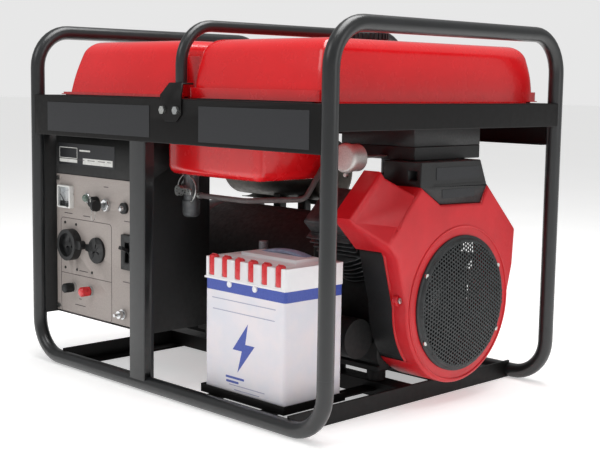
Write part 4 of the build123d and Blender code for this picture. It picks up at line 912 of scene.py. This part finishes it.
# ---- engine front ----------------------------------------------------------------------------
class GENSET_OT_shroud(bpy.types.Operator):
    """Moulded red fan shroud with its ring and fixing tab"""
    bl_idname = "genset.shroud"
    bl_label = "Fan shroud"

    def execute(self, context):
        low, high = box_mm("fan_shroud")
        axis = middle("fan_grille")
        rim, rear = 112, 20
        bm = flattened("fan_shroud")

        def moulded(edge):
            """Whether an edge is an outer one, away from the fan's opening and from the back."""
            places = [vert.co / MM for vert in edge.verts]
            front = all(place.x > low.x + rear for place in places)
            away = all((Vector((axis.y, axis.z)) - place.yz).length > rim for place in places)
            return front and away and edge.is_convex

        round_off(bm, [edge for edge in sharp_edges(bm, 25) if moulded(edge)], 5, 4)
        mesh = taken(bm, "shroud_moulding", finish("moulded_red"), 32)
        piece("shroud_moulding", mesh, "shroud_red", "fan_shroud")
        self.details(axis, high.x)
        return {"FINISHED"}

    def details(self, axis, front):
        """The raised ring round the guard and the tab with its bolt on the near rim."""
        trim = Shape(finish("moulded_red"), finish("zinc_plate"))
        ring = [(129, -0.5), (129.6, 1.1), (127.8, 1.6), (126.4, 1.1), (126, -0.5)]
        trim.ring(ring, facing((front, axis.y, axis.z), RIGHT))
        tab = facing((front - 20, axis.y - 139, axis.z + 18), RIGHT)
        trim.lathe([(0, 0), (9, 0), (9, 7), (8, 8), (0, 8)], tab, 24)
        trim.use(1).lathe([(0, 8), (5.5, 8), (5.5, 11), (4.5, 12), (0, 12)], tab, 6)
        trim.place("shroud_trim", "shroud_red")


class GENSET_OT_grille(bpy.types.Operator):
    """Domed fan guard with staggered round holes and its rim"""
    bl_idname = "genset.grille"
    bl_label = "Fan guard"

    def execute(self, context):
        sizes = context.scene.genset_grille
        low, high = box_mm("fan_grille")
        axis = middle("fan_grille")
        radius = (high.y - low.y) / 2
        inner = radius - sizes.rim
        thick = 1.8
        at = facing((low.x, axis.y, axis.z), RIGHT)
        base = high.x - low.x - sizes.rise - thick
        guard = Shape(finish("grille_resin"))
        count = int(2 * inner / sizes.pitch / (sqrt(3) / 2)) + 3
        mesh = grown(perforated_tree(finish("grille_resin")), Radius=(inner + 1) * MM, Pitch=sizes.pitch * MM,
                     Hole=sizes.hole * MM, Thick=thick * MM, Rise=sizes.rise * MM, Count=count)
        mesh.transform(Matrix.Scale(MM, 4) @ at @ Matrix.Translation((0, 0, base)) @ Matrix.Scale(1 / MM, 4))
        guard.copy_of(mesh)
        rim = [(inner - 1, base - 1), (inner - 1, base + 1.4), (inner + 1.5, base + 1.6), (inner + 4, base),
               (inner + 6, 4.4), (radius - 1, 4), (radius, 3), (radius, 0), (inner + 2, 0),
               (inner + 0.5, base - 2)]
        guard.ring(rim, at)
        guard.place("fan_guard", "grille_black", "fan_grille", smooth=40)
        return {"FINISHED"}


class GENSET_OT_intake(bpy.types.Operator):
    """Black badge cover, air cleaner and carburettor"""
    bl_idname = "genset.intake"
    bl_label = "Intake"

    def execute(self, context):
        black = finish("moulded_black")
        softened("badge_panel", black, "black_plastic", width=1.2)
        softened("air_cleaner_base", black, "black_plastic", width=1.0)
        softened("air_cleaner_cover", black, "black_plastic", width=1.0)
        softened("carburettor", finish("cast_aluminium"), "cast_aluminium", width=1.0)
        self.badge()
        return {"FINISHED"}

    def badge(self):
        """Blank raised plate on the badge cover, and a line of short slots drawn as thin darker bars: painted
        shade in place of open slots.
        """
        high = box_mm("badge_panel")[1]
        axis = middle("fan_grille")
        at = facing((high.x, axis.y - 10, high.z - 20), RIGHT)
        plate = Shape(finish("printed_plate"), finish("powder_black"))
        plate.slab(rounded(112, 20, 2), -0.3, 0.7, at, bevel=0.3, segments=1)
        plate.slab(rounded(84, 14, 2, centre=(2, -33)), -0.3, 0.5, at, bevel=0.3, segments=1)
        # The slots: darker bars laid on the face, painted shade where the openings would be.
        plate.use(1)
        for step in (-1, 0, 1):
            plate.slab(rounded(40, 3.4, 1.2, 3, (step * 43 + 2, -18)), -0.2, 0.25, at)
        plate.place("badge_trim", "plate_grey")


# ---- control box -----------------------------------------------------------------------------
class GENSET_OT_panel(bpy.types.Operator):
    """Control box, grey panel with its printed lines and screws"""
    bl_idname = "genset.panel"
    bl_label = "Control panel"

    def execute(self, context):
        softened("control_box", finish("powder_black"), "box_black", width=0.4)
        softened("panel_face", finish("powder_grey"), "panel_grey", width=0.4)
        paint(finish("moulded_black"), "control_internals")
        self.print_lines()
        return {"FINISHED"}

    def print_lines(self):
        front = box_mm("panel_face")[0].y
        at = facing((0, front, 0), FRONT)
        ink = Shape(finish("dark_print"), finish("moulded_black"))
        meter = middle("voltmeter_case")
        nuts = middle("black_terminal_nut")
        self.strip(solid_boxes("name_plates"))
        x0, x1 = meter.x - 21, meter.x + 140
        z0, z1 = nuts.z - 50, meter.z - 40
        border = [(x, front, z) for x, z in rounded(x1 - x0, z1 - z0, 8, 6, ((x0 + x1) / 2, (z0 + z1) / 2))]
        ink.sweep(border, 0.55, 6, loop=True)
        ink.sweep([(x0, front, nuts.z + 24), (x1, front, nuts.z + 24)], 0.55, 6)
        # Short bars stand in for the words beside each fitting: place and length.
        marks = [(meter.x + 4, meter.z - 31, 26), (meter.x + 63, meter.z - 32, 22),
                 (meter.x + 124, meter.z + 26, 14), (meter.x + 52, nuts.z + 33, 28),
                 (nuts.x + 20, nuts.z - 32, 34), (nuts.x + 20, nuts.z - 20, 8),
                 (meter.x + 184, nuts.z + 30, 20), (meter.x + 186, meter.z - 30, 16)]
        for x, z, long in marks:
            ink.slab(rounded(long, 1.6, 0.6, 2, (x, z)), -0.1, 0.12, at)
        ink.use(1)
        socket = middle("sockets")
        below = socket.z - 46
        screws = ((x0 + 14, z1 - 9), (x0 + 50, z1 - 10), (x0 + 14, below), (x0 + 52, below), (x0 + 100, below))
        for x, z in screws:
            spot = facing((x, front, z), FRONT)
            ink.lathe([(0, 0), (2.6, 0), (2.4, 1.2), (0, 1.5)], spot, 16)
        ink.place("panel_print", "plate_grey")

    def strip(self, plates):
        """The label over the panel: a framed dark square and white fields, all blank."""
        low, high = min(plates, key=lambda pair: pair[0].z)
        at = facing((low.x, low.y, low.z), FRONT)
        wide, tall = high.x - low.x, high.z - low.z
        label = Shape(finish("white_print"), finish("dark_print"))
        mid = tall / 2
        fields = ((31, mid + 12, 58, 1.2), (31, mid - 7, 58, 1.2), (2.6, mid + 2.5, 1.2, 20),
                       (59.4, mid + 2.5, 1.2, 20), (31, mid - 12, 58, 6), (wide - 52, mid - 11, 92, 11),
                       (84, mid + 8, 34, 3))
        for x, z, long, deep in fields:
            label.slab(rounded(long, deep, 0.5, 2, (x, z)), -0.1, 0.12, at)
        label.use(1)
        for x, long in ((72, 22), (104, 22), (136, 22), (160, 12)):
            label.slab(rounded(long, 1.1, 0.4, 2, (x, mid - 9)), 0, 0.2, at)
        label.place("label_print", "plate_grey")


class GENSET_OT_instruments(bpy.types.Operator):
    """Voltmeter, pilot lamp, knob, key switch, key and push button"""
    bl_idname = "genset.instruments"
    bl_label = "Instruments"

    def execute(self, context):
        self.meter()
        self.lamp()
        self.knob()
        self.switch()
        self.button()
        return {"FINISHED"}

    def meter(self):
        low, high = box_mm("voltmeter_case")
        centre = (low + high) / 2
        pivot = middle("voltmeter_needle")
        front = low.y
        size = high.x - low.x
        at = facing((centre.x, front + 9, centre.z), FRONT)
        case = Shape(finish("meter_white"), finish("dark_print"), finish("moulded_black"), finish("window"))
        outer = rounded(size, size, 3, 6)
        inner = rounded(size - 6, size - 6, 2, 6)
        edge = rounded(size - 1.4, size - 1.4, 2.6, 6)
        levels = [(outer, 0), (outer, 8.2), (edge, 9), (inner, 9), (inner, 2)]
        case.skin([[(x, y, z) for x, y in outline] for outline, z in levels], at=at)
        case.slab(rounded(size - 8, size - 8, 2), -high.y + front + 9, 0, at)
        axle = Vector((pivot.x - centre.x, low.z + 9 - centre.z))
        case.use(1)
        for step in range(13):
            angle = radians(45 + 90 * step / 12)
            long = 3.2 if step % 3 == 0 else 1.8
            way = Vector((cos(angle), sin(angle)))
            start = axle + way * 23
            end = start + way * long
            across = Vector((-way.y, way.x)) * 0.25
            corners = [start - across, end - across, end + across, start + across]
            case.slab([(-x, y) for x, y in corners], 2.0, 2.2, at)
        case.use(2).slab(rounded(size - 8, 9, 1, 3, (0, -size / 2 + 8)), 2.0, 4.0, at, bevel=0.4, segments=1)
        case.lathe([(0, 8.8), (4.2, 8.8), (4.2, 9.0), (0, 9.0)], at @ Matrix.Translation((13, -15, 0)), 20)
        case.place("voltmeter_body", "meter_white", "voltmeter_case")
        pane = Shape(finish("window")).slab(rounded(size - 6.4, size - 6.4, 1.8, 4), 6.9, 7.5, at)
        pane.place("voltmeter_window", "meter_white")
        paint(finish("moulded_black"), "voltmeter_needle")

    def lamp(self):
        radius, back, at = on_panel("pilot_lamp", 10)
        lamp = Shape(finish("chrome_plate"), finish("lamp_lens"))
        lamp.lathe([(0, back), (radius - 2, back), (radius - 2, 0), (radius, 0), (radius, 1.6),
                    (radius - 1, 2.4), (radius - 1.6, 2.4), (0, 2.2)], at, 40)
        dome = [(radius - 1.8, 1.5)]
        for step in range(9):
            angle = pi / 2 * step / 8
            dome.append(((radius - 2) * cos(angle), 4 + 6 * sin(angle)))
        lamp.use(1).lathe([(0, 1.5)] + dome, at, 40)
        lamp.place("pilot_lamp_lens", "lamp_green", "pilot_lamp")

    def knob(self):
        radius, back, at = on_panel("voltage_knob", 14.5)
        knob = Shape(finish("moulded_black"), finish("white_print"))
        knob.lathe([(0, back), (3, back), (3, 0), (radius - 0.4, 0), (radius - 0.9, 12), (radius - 2.2, 14.2),
                    (radius - 4, 14.2), (radius - 5, 13.4), (0, 13.2)], at, 48)
        ridges(knob, finish("moulded_black"), at, 20, radius - 0.8, 10.5, 1.5, 1.1, 6.2)
        knob.use(1)
        knob.slab(rounded(1.4, 6, 0.6, 2, (0, 3.4)), 13.1, 13.6, at)
        knob.slab(rounded(1.2, 3.0, 0.5, 2, (0, 8)), 13.9, 14.35, at)
        knob.place("voltage_knob_moulding", "black_plastic", "voltage_knob",
              body="voltage_knob")

    def switch(self):
        radius, back, at = on_panel("key_switch", 7)
        barrel = Shape(finish("chrome_plate"), finish("moulded_black"))
        bore = 5.2
        barrel.ring([(bore, back + 2), (radius - 2, back + 2), (radius - 2, 0), (radius, 0), (radius, 3),
                     (radius - 1.2, 6.2), (radius - 2.6, 6.9), (radius - 4.2, 6.4), (bore, 6.2)], at, 48)
        barrel.place("key_switch_barrel", "zinc", "key_switch")
        low, high = box_mm("ignition_key")
        key = Shape(finish("moulded_black"), finish("ground_steel"), finish("zinc_plate"))
        seat = at.translation
        back, tip = seat.y - high.y, seat.y - low.y
        key.use(1).lathe([(0, back), (4.9, back), (4.9, 6), (4.4, 6.6), (0, 6.6)], at, 32)
        key.slab(rounded(2.2, 8, 0.6, 2), 6, 16, at)
        head = [(-9.2, -4), (-6.4, -8.6), (0, -10), (6.4, -8.6), (9.2, -4), (9.2, 4), (6.4, 8.6), (0, 10),
                (-6.4, 8.6), (-9.2, 4)]
        turned = at @ Matrix.Translation((0, 0, (15 + tip) / 2)) @ Matrix.Rotation(pi / 2, 4, "Y")
        key.use(0).slab([(x * (tip - 15) / 18.4, y) for x, y in head], -2.9, 2.9, turned, bevel=1.3)
        loop = [(seat.x - 0.5 + 0.4 * sin(a), low.y + 5 + 11 * sin(a) * 0.35, seat.z - 15 - 11 * cos(a))
                for a in full_turn(32)]
        key.use(2).sweep(loop, 0.55, 8, loop=True)
        key.place("ignition_key_moulding", "black_plastic", "ignition_key",
              body="key")

    def button(self):
        low, high = box_mm("reset_button")
        centre = middle("reset_button")
        radius = (high.x - low.x) / 2
        at = facing((centre.x, high.y, centre.z), FRONT)
        long = high.y - low.y
        stem = Shape(finish("chrome_plate"))
        stem.lathe([(0, 0), (radius, 0), (radius, long - 1.2), (radius - 0.5, long - 0.3),
                    (radius - 1.4, long), (0, long)], at, 40)
        stem.place("push_button", "black_plastic", "reset_button", body="reset_button")


class GENSET_OT_outlets(bpy.types.Operator):
    """Round sockets, terminal posts, knurled nuts and breaker"""
    bl_idname = "genset.outlets"
    bl_label = "Outlets"

    def execute(self, context):
        softened("sockets", finish("moulded_black"), "black_plastic", width=0.8)
        paint(finish("chrome_plate"), "terminal_studs")
        self.nut("black_terminal_nut", finish("moulded_black"), "black_plastic", "black_nut")
        self.nut("red_terminal_nut", finish("insulator_red"), "nut_red", "red_nut")
        softened("breaker_case", finish("moulded_black"), "black_plastic", width=0.8)
        softened("breaker_lever", finish("moulded_black"), "black_plastic", width=0.6, body="breaker_lever")
        return {"FINISHED"}

    def nut(self, node, finish, slot, body):
        low, high = box_mm(node)
        centre = middle(node)
        radius = (high.x - low.x) / 2
        long = high.y - low.y
        at = facing((centre.x, high.y, centre.z), FRONT)
        nut = Shape(finish)
        bore = 3.06
        nut.lathe([(bore, 0), (radius - 0.9, 0), (radius - 0.4, 0.6), (radius - 0.9, long - 2.4),
                   (radius - 2.4, long - 0.4), (radius - 3.6, long), (0, long)], at, 40)
        ridges(nut, finish, at, 22, radius - 0.75, long - 4, 1.2, 1.1, long / 2 - 0.6)
        nut.place(node + "_moulding", slot, node, body=body)


# ---- battery ---------------------------------------------------------------------------------
class GENSET_OT_battery(bpy.types.Operator):
    """Battery case, lid, vent caps, terminals and carrying strap"""
    bl_idname = "genset.battery"
    bl_label = "Battery"

    def execute(self, context):
        self.case()
        self.lid()
        self.vents()
        paint(finish("dull_lead"), "battery_terminals")
        return {"FINISHED"}

    def case(self):
        low, high = box_mm("battery_case")
        centre = (low + high) / 2
        wide, deep = high.x - low.x, high.y - low.y
        case = Shape(finish("clear_polypropylene"), finish("blue_print"), finish("pale_print"))
        top = high.z - low.z
        at = Matrix.Translation((centre.x, centre.y, low.z))
        outline = rounded(wide, deep, 6)
        levels = [(rounded(wide - 3, deep - 3, 4.6, 6), 0), (rounded(wide - 1, deep - 1, 5.6, 6), 1.2),
                  (outline, 4), (outline, top - 17.5)]
        case.skin([[(x, y, z) for x, y in ring] for ring, z in levels], at=at)
        case.use(1).skin([[(x, y, z) for x, y in outline] for z in (top - 17.5, top)], at=at)
        front = facing((centre.x, low.y, low.z), FRONT)
        case.use(2)
        for z, long in ((158, 150), (140, 146), (22, 84), (15, 60)):
            case.slab(rounded(long, 1.4, 0.6, 3, (8 if long < 100 else -2, z)), -0.2, 0.08, front)
        bolt = [(10, 126), (-26, 80), (-4, 80), (-14, 44), (26, 92), (4, 92)]
        case.use(1).slab(bolt, -0.2, 0.08, front)
        for x, z, long in ((-20, 34, 44), (-26, 27, 30)):
            case.slab(rounded(long, 3.6, 1.2, 3, (x, z)), -0.2, 0.08, front)
        case.place("battery_case_moulding", "battery_white", "battery_case")

    def lid(self):
        softened("battery_lid", finish("lid_polypropylene"), "battery_white", width=1.0)
        low, high = box_mm("battery_lid")
        centre = (low + high) / 2
        deck = high.z - 6
        trim = Shape(finish("lid_polypropylene"), finish("handle_blue"))
        front = facing((centre.x, low.y, low.z), FRONT)
        for x in (-34, 26):
            trim.lathe([(0, -1), (5.2, -1), (5.2, 0.8), (4.2, 1.6), (2.4, 1.6), (2.2, 0.9), (0, 0.9)],
                       front @ Matrix.Translation((x, -4, 0)), 20)
        trim.slab(rounded(high.x - low.x, 3, 0.9, 3, (0, 1.6)), -0.4, 0.5, front)
        strap = []
        for step in range(17):
            share = step / 16
            x = centre.x - 62 + 124 * share
            strap.append((x, centre.y + 22, deck - 2 + 12 * sin(pi * share) ** 0.6))
        trim.use(1)
        for across in range(3):
            trim.sweep([(x, y + across * 6, z) for x, y, z in strap], 3.2, 12)
        trim.place("battery_lid_trim", "battery_white")

    def vents(self):
        caps = Shape(finish("moulded_cap_red"))
        for low, high in solid_boxes("battery_caps"):
            centre = (low + high) / 2
            radius = (high.x - low.x) / 2
            at = Matrix.Translation((centre.x, centre.y, 0))
            caps.lathe([(0, low.z), (radius - 2, low.z), (radius - 0.4, low.z + 2), (radius, low.z + 6),
                        (radius, high.z - 3), (radius - 1.2, high.z - 0.8), (radius - 3, high.z),
                        (0, high.z)], at, 32)
            caps.slab(rounded(2 * radius - 5, 3, 0.8, 3), high.z - 1, high.z + 1.2, at, bevel=0.4, segments=1)
        caps.place("battery_vent_caps", "cap_red", "battery_caps")


# ---- fuel line -------------------------------------------------------------------------------
class GENSET_OT_fuel(bpy.types.Operator):
    """Fuel cock with its lever and spring clips, hose and pulse pump"""
    bl_idname = "genset.fuel"
    bl_label = "Fuel line"

    def execute(self, context):
        softened("fuel_cock_body", finish("cast_aluminium"), "cast_aluminium", width=0.6)
        softened("fuel_cock_lever", finish("zinc_plate"), "zinc", width=0.6, body="cock_lever")
        paint(finish("hose_rubber"), "fuel_hose")
        softened("fuel_pump", finish("die_cast_white"), "cast_aluminium", width=0.6)
        self.clips()
        return {"FINISHED"}

    def clips(self):
        """Two bowed spring wires round the cock and a bolt under the pump's cover."""
        lever = middle("fuel_cock_lever")
        bowl = solid_boxes("fuel_cock_body")[0]
        x = (bowl[0].x + bowl[1].x) / 2
        y = (bowl[0].y + bowl[1].y) / 2
        metal = Shape(finish("zinc_plate"))
        for radius, lift in ((19, 0), (24, 4)):
            bow = [radians(-60 + 240 * step / 20) for step in range(21)]
            wire = [(x + radius * cos(a), y - 6 - lift, lever.z + 2 + radius * sin(a)) for a in bow]
            metal.sweep(wire, 1.1, 10)
        pump = box_mm("fuel_pump")
        at = facing((pump[0].x + 34, pump[0].y + 10, pump[0].z - 3), FRONT)
        metal.lathe([(0, 0), (4.2, 0), (4.2, 5), (3.4, 6), (0, 6)], at, 6)
        metal.place("fuel_clips", "zinc")


# ---- engine, alternator ----------------------------------------------------------------------
class GENSET_OT_engine(bpy.types.Operator):
    """Crankcase, cylinders, starter and the parts on the shaft"""
    bl_idname = "genset.engine"
    bl_label = "Engine"

    def execute(self, context):
        dark = finish("heat_paint")
        softened("crankcase", dark, "engine_black", width=1.5)
        softened("rocker_covers", finish("cast_aluminium"), "cast_aluminium", width=0.8)
        softened("starter_motor", dark, "engine_black", width=1.0)
        softened("oil_filter", dark, "engine_black", width=0.8)
        paint(finish("cast_aluminium"), "cylinder_barrels", "cylinder_heads", "flywheel_fan")
        paint(finish("ground_steel"), "crankshaft")
        paint(finish("laminations"), "alternator_rotor", "alternator_stator")
        self.oil_cap()
        return {"FINISHED"}

    def oil_cap(self):
        low, high = box_mm("oil_cap")
        axis = middle("oil_cap")
        radius = (high.x - low.x) / 2
        seat = high.z - 11.6
        at = Matrix.Translation((axis.x, axis.y, seat))
        cap = Shape(finish("moulded_black"))
        cap.lathe([(0, low.z - seat), (2.9, low.z - seat), (2.9, 0.1), (radius - 1.4, 0.1), (radius - 0.8, 1),
                   (radius - 0.8, 9), (radius - 2, 11), (0, 11.4)], at, 36)
        ridges(cap, finish("moulded_black"), at, 14, radius - 1.0, 8.5, 2.2, 1.8, 5.2)
        cap.place("oil_cap_moulding", "black_plastic", "oil_cap", body="oil_cap")


class GENSET_OT_alternator(bpy.types.Operator):
    """Alternator housing, end cover, cradle and the silencer over it"""
    bl_idname = "genset.alternator"
    bl_label = "Alternator"

    def execute(self, context):
        softened("alternator_housing", finish("heat_paint"), "engine_black", width=0.8)
        softened("alternator_end_cover", finish("cast_aluminium"), "cast_aluminium", width=0.6)
        softened("alternator_cradle", finish("heat_paint"), "engine_black", width=0.8)
        softened("muffler", finish("muffler_steel"), "muffler_steel", width=0.3)
        return {"FINISHED"}


# ---- panel and running -----------------------------------------------------------------------
class GENSET_PT_build(bpy.types.Panel):
    """Lists the pieces in the order in which they are made"""
    bl_label = "Generating set"
    bl_idname = "GENSET_PT_build"
    bl_space_type = "VIEW_3D"
    bl_region_type = "UI"
    bl_category = "Generating Set"

    def draw(self, context):
        scene = context.scene
        for group in (scene.genset_frame, scene.genset_tank, scene.genset_grille, scene.genset_light):
            box = self.layout.box()
            for name in group.__annotations__:
                box.prop(group, name)
        for operator in OPERATORS:
            self.layout.operator(operator.bl_idname)


GROUPS = {"genset_frame": FrameSizes, "genset_tank": TankSizes, "genset_grille": GrilleSizes,
          "genset_light": LightSizes}
OPERATORS = (GENSET_OT_stage, GENSET_OT_frame, GENSET_OT_tank, GENSET_OT_shroud, GENSET_OT_grille,
             GENSET_OT_intake, GENSET_OT_panel, GENSET_OT_instruments, GENSET_OT_outlets, GENSET_OT_battery,
             GENSET_OT_fuel, GENSET_OT_engine, GENSET_OT_alternator)


def register():
    for name, group in GROUPS.items():
        bpy.utils.register_class(group)
        setattr(bpy.types.Scene, name, bpy.props.PointerProperty(type=group))
    for operator in OPERATORS:
        bpy.utils.register_class(operator)
    bpy.utils.register_class(GENSET_PT_build)


def unregister():
    bpy.utils.unregister_class(GENSET_PT_build)
    for operator in reversed(OPERATORS):
        bpy.utils.unregister_class(operator)
    for name, group in reversed(GROUPS.items()):
        delattr(bpy.types.Scene, name)
        bpy.utils.unregister_class(group)


def main():
    register()
    for operator in OPERATORS:
        family, name = operator.bl_idname.split(".")
        getattr(getattr(bpy.ops, family), name)()


if __name__ == "__main__":
    main()
